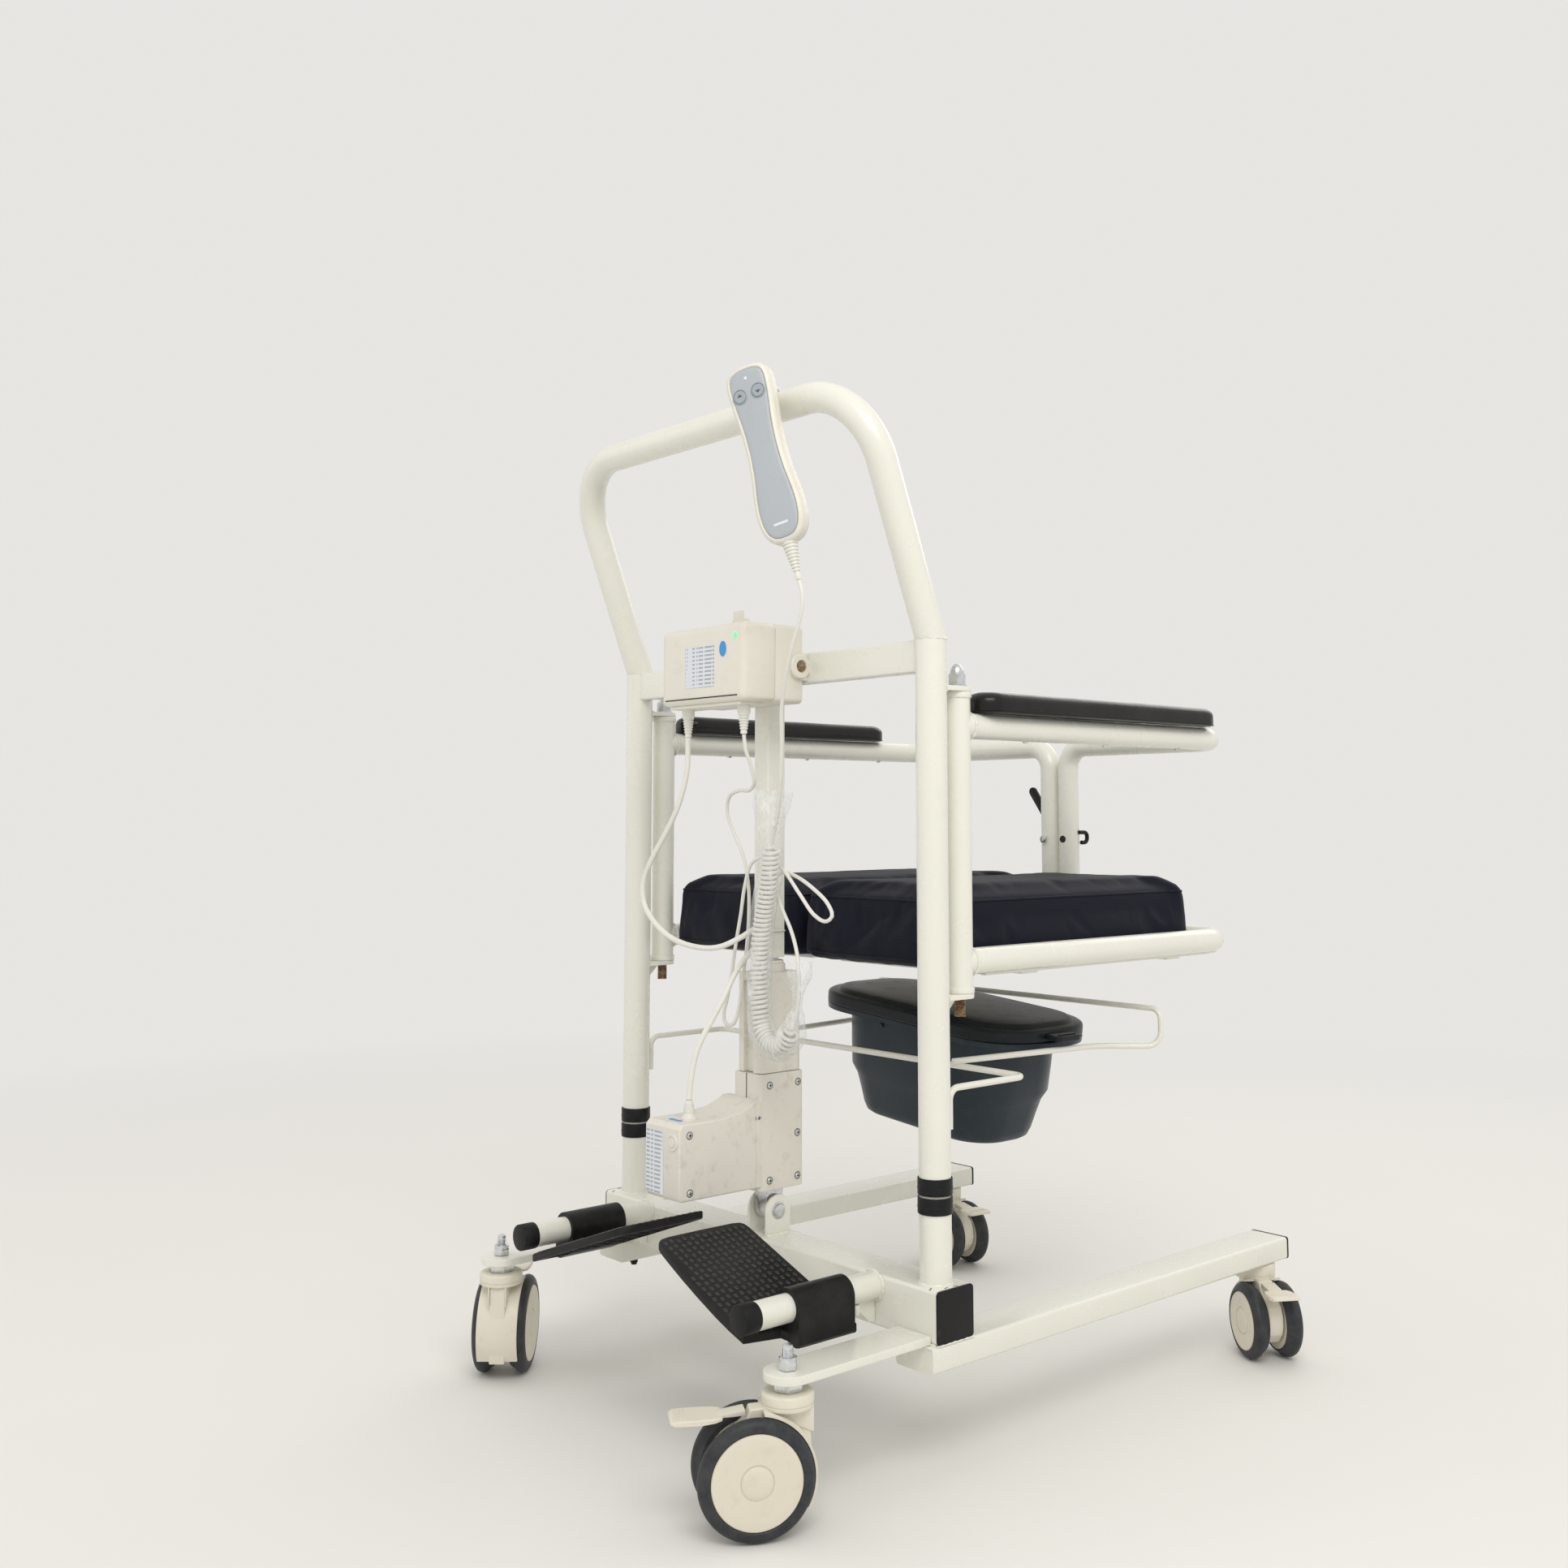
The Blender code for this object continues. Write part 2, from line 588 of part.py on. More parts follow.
def bucket_rail(lift):
    """Two welded rods: a bow off the uprights and a cradle that turns up behind."""
    peg_y = 0.0255
    bow_y = 0.160
    bow = round_path([(-UPRIGHT_X, peg_y, 0.383), (-UPRIGHT_X, peg_y, RAIL_Z), (-UPRIGHT_X, bow_y, RAIL_Z),
                      (UPRIGHT_X, bow_y, RAIL_Z), (UPRIGHT_X, peg_y, RAIL_Z), (UPRIGHT_X, peg_y, 0.383)],
                     [0.014] * 4, 3)
    rail = make_object("bucket_rail", sweep(bow, RAIL_R, 8), "white_paint", lift)
    level = RAIL_Z + 0.0060
    half = [(0.189, bow_y - 0.007, level), (0.222, 0.400, level), (0.285, 0.466, level), (0.285, 0.466, 0.486)]
    corners = mirrored(half, -1) + half[::-1]
    cradle = round_path(corners, [0.06, 0.02, 0.014, 0.014, 0.02, 0.06], 3)
    return combine(rail, make_object("cradle", sweep(cradle, RAIL_R, 8), None, lift), "UNION")


# ---------------------------------------------------------------- swing seat halves
def swing_path(side):
    x = side * UPRIGHT_X
    inner = side * SWING_INNER_X
    corners = [(x, HINGE_Y, ARMREST_Z), (x, SWING_REAR_Y, ARMREST_Z), (inner, SWING_REAR_Y, ARMREST_Z),
               (inner, SWING_REAR_Y, SEAT_Z), (x, SWING_REAR_Y, SEAT_Z), (x, HINGE_Y, SEAT_Z)]
    return round_path(corners, [0.05, 0.035, 0.035, 0.05], 3)


def swing_frame(side, label, pivot):
    """Hinge tube, armrest, rear post and seat rail bent from one tube."""
    wall = 0.002
    sides = 12
    x = side * UPRIGHT_X
    bottom = LOWER_BRACKET[1] + GAP
    top = UPPER_BRACKET[0] - GAP
    origin = Vector((x, HINGE_Y, 0.0))
    path = [point - origin for point in swing_path(side)]
    frame = make_object("swing_frame_" + label, sweep(path, SWING_R - 0.0002, sides), "white_paint", pivot)
    hinge = slab(circle(SWING_R, sides, start=0.1), "z", bottom, top)
    combine(frame, make_object("hinge_sleeve", hinge, None, pivot), "UNION")
    low_x, high_x = sorted((side * 0.030 - x, side * 0.300 - x))
    board = box((low_x, 0.100 - HINGE_Y, 0.5575), (high_x, SWING_REAR_Y - 0.006 - HINGE_Y, 0.5630))
    combine(frame, make_object("seat_board", board, None, pivot), "UNION")
    inner = sweep(path, SWING_R - wall, sides)
    combine(frame, make_object("tube_hollow", inner, None, pivot), "DIFFERENCE")
    sleeve = slab(circle(SWING_R - wall, sides, start=0.1), "z", bottom - 0.01, top + 0.01)
    return combine(frame, make_object("sleeve_bore", sleeve, None, pivot), "DIFFERENCE")


def armrest_pad(side, label, pivot):
    rear = 0.512 if side > 0 else 0.443
    outline = rounded_outline((-0.028, 0.028), (0.028, rear), 0.018, 3)
    middle = (0.028 + rear) / 2
    low = ARMREST_Z + SWING_R + GAP
    levels = [(low, 0.96), (low + 0.006, 1.0), (low + 0.020, 1.0), (low + 0.0265, 0.88)]
    rings = []
    for level, scale in levels:
        rings.append([(x * scale, middle + (y - middle) * (1 - (1 - scale) * 0.1), level) for x, y in outline])
    return make_object("armrest_pad_" + label, loft(rings), "pad_black", pivot)


def seat_cushion(side, label, pivot):
    """Plain block for the padded half seat, in the middle of the swing frame."""
    low_x, high_x = sorted((side * 0.004 - side * UPRIGHT_X, side * 0.284 - side * UPRIGHT_X))
    front = 0.040 - HINGE_Y
    rear = 0.560 - HINGE_Y
    outline = rounded_outline((low_x, front), (high_x, rear), 0.015, 2)
    small = rounded_outline((low_x + 0.008, front + 0.008), (high_x - 0.008, rear - 0.008), 0.012, 2)
    levels = [(0.5636, small), (0.5700, outline), (0.6500, outline), (0.6600, small)]
    return make_object("seat_cushion_" + label, loft([[(x, y, z) for x, y in points] for z, points in levels]),
                       "navy_fabric", pivot)


def latch_lever(pivot):
    """Flat lever behind the left rear post, with its handle up to the left."""
    foot = Vector((0.0, 0.0))
    tip = Vector((-0.054, 0.076))
    along = (tip - foot).normalized()
    across = Vector((-along.y, along.x)) * 0.007
    outline = []
    for centre, turn in ((foot, math.pi), (tip, 0.0)):
        for i in range(7):
            angle = turn + math.pi * i / 6
            outline.append(centre + across * math.cos(angle) + along * 0.007 * math.sin(angle))
    bm = slab([tuple(point) for point in outline], "y", -0.0025, 0.0025)
    return make_object("latch_lever", bm, "black_plastic", pivot)


# ---------------------------------------------------------------- bucket
def pan_ring(half_x, half_y, corner, level, count=4):
    outline = rounded_outline((-half_x, -half_y), (half_x, half_y), corner, count)
    return [(x, y, level) for x, y in outline]


def bucket(pivot):
    """Open pan with a flat rim, drawn from the outside of the floor to its inside."""
    wall = 0.003
    rings = [
        pan_ring(0.122, 0.062, 0.050, -0.156),
        pan_ring(0.144, 0.082, 0.062, -0.140),
        pan_ring(0.152, 0.090, 0.070, -0.085),
        pan_ring(0.158, 0.094, 0.075, -0.006),
        pan_ring(0.200, 0.104, 0.080, -0.006),
        pan_ring(0.202, 0.106, 0.080, 0.000),
        pan_ring(0.158 - wall, 0.094 - wall, 0.073, 0.000),
        pan_ring(0.152 - wall, 0.090 - wall, 0.068, -0.085),
        pan_ring(0.141 - wall, 0.080 - wall, 0.060, -0.137),
        pan_ring(0.120 - wall, 0.060 - wall, 0.048, -0.156 + wall),
    ]
    return make_object("bucket", loft(rings), "slate_plastic", pivot)


def bucket_lid(pivot):
    rings = [
        pan_ring(0.198, 0.106, 0.080, GAP),
        pan_ring(0.200, 0.108, 0.080, 0.004),
        pan_ring(0.199, 0.107, 0.080, 0.016),
        pan_ring(0.190, 0.098, 0.074, 0.023),
        pan_ring(0.120, 0.050, 0.040, 0.025),
    ]
    lid = make_object("bucket_lid", loft(rings), "black_plastic", pivot)
    tab = box((0.190, -0.024, 0.005), (0.226, 0.024, 0.013))
    return combine(lid, make_object("lid_tab", tab, None, pivot), "UNION")


# ---------------------------------------------------------------- footplates
def footplate(side, label, pivot):
    """Sloping tread that passes under the foot tube, with a sleeve round it."""
    rise = math.tan(FOOTPLATE_RISE)
    outer_x = 0.017
    tip_x = -0.194
    thickness = 0.011

    def surface(x):
        return -0.0305 - (x - outer_x) * rise

    outline = [(-0.010, -0.220), (-0.060, -0.221), (-0.130, -0.216), (tip_x + 0.005, -0.208), (tip_x, -0.200),
               (tip_x - 0.001, -0.140), (tip_x, -0.080), (tip_x + 0.005, -0.074), (outer_x, -0.074),
               (outer_x, -0.158), (-0.0035, -0.171)]
    rings = []
    for drop in (0.0, thickness):
        rings.append([(side * x, y, surface(x) - drop) for x, y in outline])
    tread = make_object("footplate_" + label, loft(rings), "black_plastic", pivot)
    arc = [(0.0215 * math.cos(a), 0.0215 * math.sin(a)) for a in [math.pi * i / 8 for i in range(9)]]
    skirt = [(side * x, z) for x, z in
             arc + [(-0.0215, -0.020), (-0.012, surface(-0.012) - thickness), (0.014, -0.041), (0.0215, -0.041)]]
    combine(tread, make_object("sleeve", slab(skirt, "y", -0.165, -0.0803), None, pivot), "UNION")
    for radius, front, rear in ((FOOT_TUBE_R + 0.0005, -0.17, -0.05), (0.0195, -0.25, -0.1652)):
        bore = slab(circle(radius, SIDES), "y", front, rear)
        combine(tread, make_object("clearance", bore, None, pivot), "DIFFERENCE")
    return tread


# ---------------------------------------------------------------- casters
def caster_fork(name, size, stem_top, swivel):
    """Swivel head, stem and hood; local +X is the trailing direction."""
    seat = size["seat"] - (0.010 if stem_top else GAP)
    wheel_r = size["wheel_r"]
    trail = size["trail"]
    head_low = wheel_r * 2 + 0.0008
    head = turned([(0.029, head_low), (0.029, seat - 0.004), (0.026, seat)], SIDES)
    half = 0.0105
    fork = make_object(name, head, "cream_plastic", swivel)
    if stem_top:
        stem = turned([(0.0095, seat - 0.001), (0.0095, size["seat"] - GAP), (0.006, size["seat"] - GAP),
                       (0.006, OUTRIGGER_TOP + GAP), (0.0095, OUTRIGGER_TOP + GAP), (0.0095, 0.176), (0.006, 0.178),
                       (0.006, 0.190)], 12)
        combine(fork, make_object("stem", stem, None, swivel), "UNION")
    shield = []
    for reach, order in ((0.0008, range(11)), (0.0038, range(10, -1, -1))):
        for i in order:
            angle = math.radians(98 + 11.2 * i)
            shield.append((trail + (wheel_r + reach) * math.cos(angle), wheel_r + (wheel_r + reach) * math.sin(angle)))
    web = [(-0.022, head_low + 0.006), (-0.0255, wheel_r * 0.80), (-0.022, wheel_r * 0.42), (trail * 0.5, wheel_r * 0.42),
           (trail + wheel_r * 0.40, wheel_r * 0.50), (trail + wheel_r * 0.72, wheel_r), (trail + wheel_r * 0.62, wheel_r * 1.50),
           (trail + 0.008, wheel_r * 2 - 0.0085), (trail + 0.004, head_low + 0.002)]
    combine(fork, make_object("web", slab(web, "y", -half, half), None, swivel), "UNION")
    combine(fork, make_object("fender", slab(shield, "y", -0.0270, 0.0270), None, swivel), "UNION")
    hub = slab(circle(0.0075, 12, (trail, wheel_r)), "y", -0.03, 0.03)
    return combine(fork, make_object("axle_hole", hub, None, swivel), "DIFFERENCE")


def caster_wheels(name, size, axle):
    """Two wheels on one axle; the axle lies along local Y."""
    wheel_r = size["wheel_r"]
    hub_r = size["hub_r"]
    inner, outer = 0.0125, 0.037
    rows = [(0.0, -outer), (hub_r, -outer), (hub_r + 0.002, -outer + 0.001), (wheel_r - 0.005, -outer + 0.002),
            (wheel_r, -outer + 0.007), (wheel_r, -inner - 0.004), (wheel_r - 0.004, -inner), (0.007, -inner)]
    rows += [(radius, -y) for radius, y in reversed(rows)]
    bm = bmesh.new()
    loops = [ring(bm, [(r * math.cos(a), y, r * math.sin(a)) for a in angles(20)]) for r, y in rows if r]
    for first, second in zip(loops, loops[1:]):
        bridge(bm, first, second)
    bm.faces.new(loops[0])
    bm.faces.new(loops[-1])
    return make_object(name, bm, "tyre_grey", axle)


def caster_pedal(name, size, pivot):
    """Brake pedal: a narrow stem between the wheels and a wide paddle behind them."""
    reach = size["pedal_reach"] - size["trail"] - 0.012
    stem = [(-0.003, 0.0000), (-0.003, -0.0060), (0.030, -0.0070), (0.030, -0.0036)]
    pedal = make_object(name, slab(stem, "y", -0.0098, 0.0098), "cream_plastic", pivot)
    paddle = [(0.022, -0.0036), (reach - 0.004, -0.0032), (reach, -0.0050), (reach, -0.0075), (reach - 0.010, -0.0082),
              (0.046, -0.0092), (0.030, -0.0080), (0.022, -0.0066)]
    return combine(pedal, make_object("paddle", slab(paddle, "y", -0.021, 0.021), None, pivot), "UNION")


def caster(label, root):
    front = label.startswith("front")
    size = FRONT_CASTER if front else REAR_CASTER
    stem = FRONT_STEM if front else REAR_STEM
    side = -1 if label.endswith("left") else 1
    heading = math.radians(CASTER_HEADINGS[label])
    swivel = make_empty(label + "_swivel", root, (side * stem.x, stem.y, 0.0), heading)
    axle = make_empty(label + "_axle", swivel, (size["trail"], 0.0, size["wheel_r"]))
    pedal_z = size["wheel_r"] * 2 + 0.0025
    pedal = make_empty(label + "_pedal_hinge", swivel, (size["trail"] + 0.012, 0.0, pedal_z))
    name = "caster_" + label
    caster_fork(name + "_fork", size, front, swivel)
    caster_wheels(name + "_wheels", size, axle)
    caster_pedal(name + "_pedal", size, pedal)


# ---------------------------------------------------------------- handset
def handset_frame(lift):
    """Empty at the middle of the handset: local -Y is its face, local Z its length."""
    middle = (HANDSET_TOP + HANDSET_BOTTOM) / 2
    lean = math.atan2(HANDSET_TOP.x - HANDSET_BOTTOM.x, HANDSET_TOP.z - HANDSET_BOTTOM.z)
    return make_empty("handset_hang", lift, middle, HANDSET_YAW, lean)


def handset_outline(scale=1.0):
    """Peanut outline: wide head, narrow waist, wide round foot."""
    widths = [(0.116, 0.016), (0.110, 0.025), (0.098, 0.0290), (0.075, 0.0295), (0.045, 0.0265), (0.010, 0.0245),
              (-0.025, 0.0265), (-0.060, 0.0305), (-0.085, 0.0300), (-0.102, 0.0245), (-0.112, 0.0150)]
    right = [(x * scale, z * scale) for z, x in widths]
    return right + [(-x, z) for x, z in reversed(right)]


def hook_outline():
    """Half ring over the handle tube, joined to the back of the handset."""
    centre = (0.0578, 0.0755)

    def arc(radius, first, last):
        turns = [math.radians(first + (last - first) * i / 7) for i in range(8)]
        return [(centre[0] + radius * math.cos(a), centre[1] + radius * math.sin(a)) for a in turns]

    return arc(0.0305, -10, 165) + [(0.011, 0.086), (0.011, 0.070)] + arc(0.0268, 180, -10)


def handset_body(hang):
    levels = [(0.012, 0.90), (0.008, 1.0), (-0.008, 1.0), (-0.012, 0.92)]
    bm = loft([[(x, y, z) for x, z in handset_outline(scale)] for y, scale in levels])
    body = make_object("handset_body", bm, "cream_plastic", hang)
    relief = turned([(0.0036, -0.160), (0.0062, -0.150), (0.0095, -0.106)], 12)
    combine(body, make_object("strain_relief", relief, None, hang), "UNION")
    combine(body, make_object("hook", slab(hook_outline(), "x", -0.008, 0.008), None, hang), "UNION")
    for x in (-0.0125, 0.0125):
        well = slab(circle(0.0083, 12, (x, 0.078)), "y", -0.02, -0.0074)
        combine(body, make_object("button_well", well, None, hang), "DIFFERENCE")
    return body


def handset_button(name, x, hang):
    bm = slab(circle(0.0080, 12), "y", -0.0043, 0.0)
    button = make_object(name, bm, "button_grey", hang)
    button.location = (x, -0.0090, 0.078)
    return button


# ---------------------------------------------------------------- cords
MOTOR_CABLE_ROUTE = [
    (-0.062, -0.090, 0.8573), (-0.062, -0.092, 0.812), (-0.074, -0.096, 0.769), (-0.097, -0.100, 0.731),
    (-0.123, -0.104, 0.696), (-0.140, -0.106, 0.665), (-0.138, -0.106, 0.636), (-0.116, -0.104, 0.611),
    (-0.079, -0.100, 0.591), (-0.030, -0.092, 0.582), (0.004, -0.084, 0.585), (0.025, -0.068, 0.597),
    (0.033, -0.048, 0.608), (0.032, -0.034, 0.600), (0.020, -0.038, 0.584), (0.013, -0.054, 0.566),
    (0.012, -0.070, 0.546), (0.012, -0.084, 0.523), (0.009, -0.098, 0.499), (0.004, -0.110, 0.477),
    (0.000, -0.120, 0.453), (0.000, -0.128, 0.423), (0.000, -0.131, 0.3965),
]
HANDSET_UPPER_ROUTE = [
    (0.22550, -0.14130, 1.03170), (0.2283, -0.1400, 1.0200), (0.2290, -0.1385, 1.0060), (0.2215, -0.1370, 0.9850),
    (0.2060, -0.1350, 0.9560), (0.1860, -0.1290, 0.9200), (0.166, -0.118, 0.885), (0.148, -0.103, 0.837),
    (0.124, -0.086, 0.780), (0.104, -0.075, 0.745), (0.0872, -0.0684, 0.7183),
]
COIL_ROUTE = [
    (0.086, -0.068, 0.715), (0.077, -0.066, 0.666), (0.062, -0.064, 0.610), (0.057, -0.064, 0.558),
    (0.058, -0.064, 0.513), (0.064, -0.064, 0.482), (0.083, -0.064, 0.466), (0.106, -0.064, 0.470),
    (0.122, -0.064, 0.488),
]
HANDSET_LOWER_ROUTE = [
    (0.1226, -0.064, 0.4896), (0.130, -0.063, 0.512), (0.133, -0.062, 0.534), (0.130, -0.060, 0.558),
    (0.122, -0.056, 0.582), (0.104, -0.050, 0.608), (0.083, -0.046, 0.632), (0.067, -0.044, 0.654),
    (0.064, -0.043, 0.672), (0.078, -0.042, 0.681), (0.105, -0.042, 0.676), (0.140, -0.043, 0.661),
    (0.168, -0.045, 0.644), (0.178, -0.047, 0.630), (0.169, -0.049, 0.623), (0.148, -0.050, 0.630),
    (0.120, -0.050, 0.655), (0.088, -0.050, 0.684), (0.055, -0.051, 0.700), (0.028, -0.053, 0.692),
    (0.015, -0.054, 0.662), (0.008, -0.055, 0.625), (0.000, -0.056, 0.590), (-0.008, -0.057, 0.550),
    (-0.015, -0.059, 0.515), (-0.022, -0.059, 0.494), (-0.020, -0.057, 0.482), (-0.010, -0.053, 0.482),
    (-0.004, -0.049, 0.500), (0.001, -0.046, 0.540), (0.004, -0.042, 0.580), (0.006, -0.040, 0.620),
    (0.004, -0.039, 0.660), (-0.005, -0.041, 0.700), (-0.018, -0.046, 0.730), (-0.025, -0.052, 0.756),
    (-0.015, -0.057, 0.778), (0.010, -0.060, 0.786), (0.035, -0.063, 0.786), (0.050, -0.067, 0.795),
    (0.055, -0.076, 0.815), (0.057, -0.087, 0.838), (0.057, -0.090, 0.8572),
]


def cords(lift):
    cord_tube("motor_cable", MOTOR_CABLE_ROUTE, MOTOR_CABLE_R, 0.014, "cable_white", lift)
    cord_tube("handset_cable_upper", HANDSET_UPPER_ROUTE, HANDSET_CABLE_R, 0.012, "cable_white", lift)
    cord_tube("handset_cable_coil", COIL_ROUTE, COIL_R, 0.020, "cable_white", lift)
    cord_tube("handset_cable_lower", HANDSET_LOWER_ROUTE, HANDSET_CABLE_R, 0.015, "cable_white", lift)


# ---------------------------------------------------------------- assembly
def build():
    clear_scene()
    root = make_empty("chair_frame", None, FRAME_SHIFT)
    lift = make_empty("lifting_frame", root, (0.0, 0.0, 0.0))
    base_cross_beam(root)
    motor_housing(root)
    actuator_outer_tube(root)
    actuator_pin(root)
    actuator_rod(lift)
    crossbar_and_column(lift)
    handle_tube(lift)
    control_box(lift)
    din_plug("motor_plug", MOTOR_PLUG, lift)
    din_plug("handset_plug", HANDSET_PLUG, lift)
    bucket_rail(lift)
    for side, label in ((-1, "left"), (1, "right")):
        beam_end_cap(side, label, root)
        base_leg(side, label, root)
        lower_post(side, label, root)
        collar("lower_collar_" + label, side, UPRIGHT_BOTTOM - 0.002 - COLLAR_HEIGHT, root)
        foot_tube(side, label, root)
        foot_tube_cap(side, label, root)
        tread = make_empty("footplate_hinge_" + label, root, (side * FOOT_TUBE_X, 0.0, FOOT_TUBE_Z))
        footplate(side, label, tread)
        upright(side, label, lift)
        collar("upper_collar_" + label, side, UPRIGHT_BOTTOM, lift)
        hinge_bolt(side, label, lift)
        hinge = make_empty("swing_hinge_" + label, lift, (side * UPRIGHT_X, HINGE_Y, 0.0))
        swing_frame(side, label, hinge)
        armrest_pad(side, label, hinge)
        seat_cushion(side, label, hinge)
        if label == "left":
            lever_offset = (UPRIGHT_X - SWING_INNER_X, SWING_REAR_Y + SWING_R + 0.0035 - HINGE_Y, 0.717)
            latch_lever(make_empty("latch_pivot", hinge, lever_offset))
    pan = make_empty("bucket_seat", lift, BUCKET_CENTRE, 0.0, BUCKET_TILT)
    bucket(pan)
    bucket_lid(pan)
    hang = handset_frame(lift)
    handset_body(hang)
    handset_button("handset_button_up", -0.0125, hang)
    handset_button("handset_button_down", 0.0125, hang)
    for label in CASTER_HEADINGS:
        caster(label, root)
    cords(lift)


build()
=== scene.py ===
import math

import bmesh
import bpy
from mathutils import Matrix, Vector, noise
from mathutils.bvhtree import BVHTree


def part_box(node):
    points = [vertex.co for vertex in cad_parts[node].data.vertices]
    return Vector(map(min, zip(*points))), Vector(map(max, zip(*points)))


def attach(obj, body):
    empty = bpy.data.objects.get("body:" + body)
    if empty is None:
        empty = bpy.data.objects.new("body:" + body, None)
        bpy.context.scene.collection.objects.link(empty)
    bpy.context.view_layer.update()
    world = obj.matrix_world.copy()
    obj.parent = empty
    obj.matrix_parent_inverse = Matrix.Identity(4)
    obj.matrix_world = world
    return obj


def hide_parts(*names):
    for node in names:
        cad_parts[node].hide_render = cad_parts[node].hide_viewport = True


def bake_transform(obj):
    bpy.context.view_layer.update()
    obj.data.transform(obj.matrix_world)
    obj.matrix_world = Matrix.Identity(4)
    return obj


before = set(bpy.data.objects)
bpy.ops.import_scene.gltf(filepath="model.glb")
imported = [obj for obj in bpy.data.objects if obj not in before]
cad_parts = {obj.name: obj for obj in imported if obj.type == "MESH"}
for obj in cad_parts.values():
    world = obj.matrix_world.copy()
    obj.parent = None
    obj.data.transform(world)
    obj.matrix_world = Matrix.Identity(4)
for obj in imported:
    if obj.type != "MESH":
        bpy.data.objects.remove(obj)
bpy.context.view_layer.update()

# Looks of an electric patient lift chair: fine surfaces, finishes, cables, light and camera.
#
# Every piece is modelled in the chair's own coordinates, in metres: the uprights stand in the
# plane y = 0, the front of the chair faces -y and the floor is at z = 0. piece() then moves it
# to where the frame has the chair.


def middle(node):
    low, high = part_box(node)
    return (low + high) / 2


ORIGIN = Vector((middle("base_cross_beam").x, middle("beam_end_cap_left").y, 0.0))
TAU = math.tau
SIDES = ((-1, "left"), (1, "right"))

# Driving dimensions of the chair.
POST_X = 0.305           # posts, uprights, handle ends and seat hinges, out from the middle
LEG_X = 0.307            # flat legs
OUTRIGGER_X, OUTRIGGER_Y, OUTRIGGER_R = 0.3, -0.221, 0.027
REAR_STEM_Y = 0.643
FOOT_TUBE_X, FOOT_TUBE_Z = 0.232, 0.2
PIN_Z = 0.243            # cross pin that carries the actuator
BEAM_LOW, BEAM_HIGH = 0.153, 0.213
HINGE_Y = 0.045          # axis of the seat's hinges
SEAT_RAIL_Z, ARM_RAIL_Z = 0.577, 0.862
FRAME_TUBE_R, SWING_TUBE_R, FOOT_TUBE_R = 0.019, 0.016, 0.016
CUSHION_X, CUSHION_Y, CUSHION_HALF_X, CUSHION_HALF_Y = 0.144, 0.3, 0.14, 0.2588
MOTOR_CABLE_Y = -0.131   # where the motor's cable leaves its housing
PLUG_Y, MOTOR_PLUG_X, HANDSET_PLUG_X = -0.09, -0.062, 0.057


# ---------------------------------------------------------------- materials
class Wire:
    """A socket of a material, with arithmetic that adds Math nodes."""

    def __init__(self, paint, socket):
        self.paint = paint
        self.socket = socket

    def math(self, operation, first, second=0.0, clamp=False):
        settings = {"operation": operation, "use_clamp": clamp}
        return self.paint.node("ShaderNodeMath", settings, {0: first, 1: second})

    def __add__(self, other):
        return self.math("ADD", self, other)

    def __sub__(self, other):
        return self.math("SUBTRACT", self, other)

    def __rsub__(self, other):
        return self.math("SUBTRACT", other, self)

    def __mul__(self, other):
        return self.math("MULTIPLY", self, other)

    def __gt__(self, other):
        return self.math("GREATER_THAN", self, other)

    def __lt__(self, other):
        return self.math("LESS_THAN", self, other)

    __radd__ = __add__
    __rmul__ = __mul__

    def clamp(self):
        return self.math("ADD", self, 0.0, clamp=True)

    def power(self, exponent):
        return self.math("POWER", self, exponent)


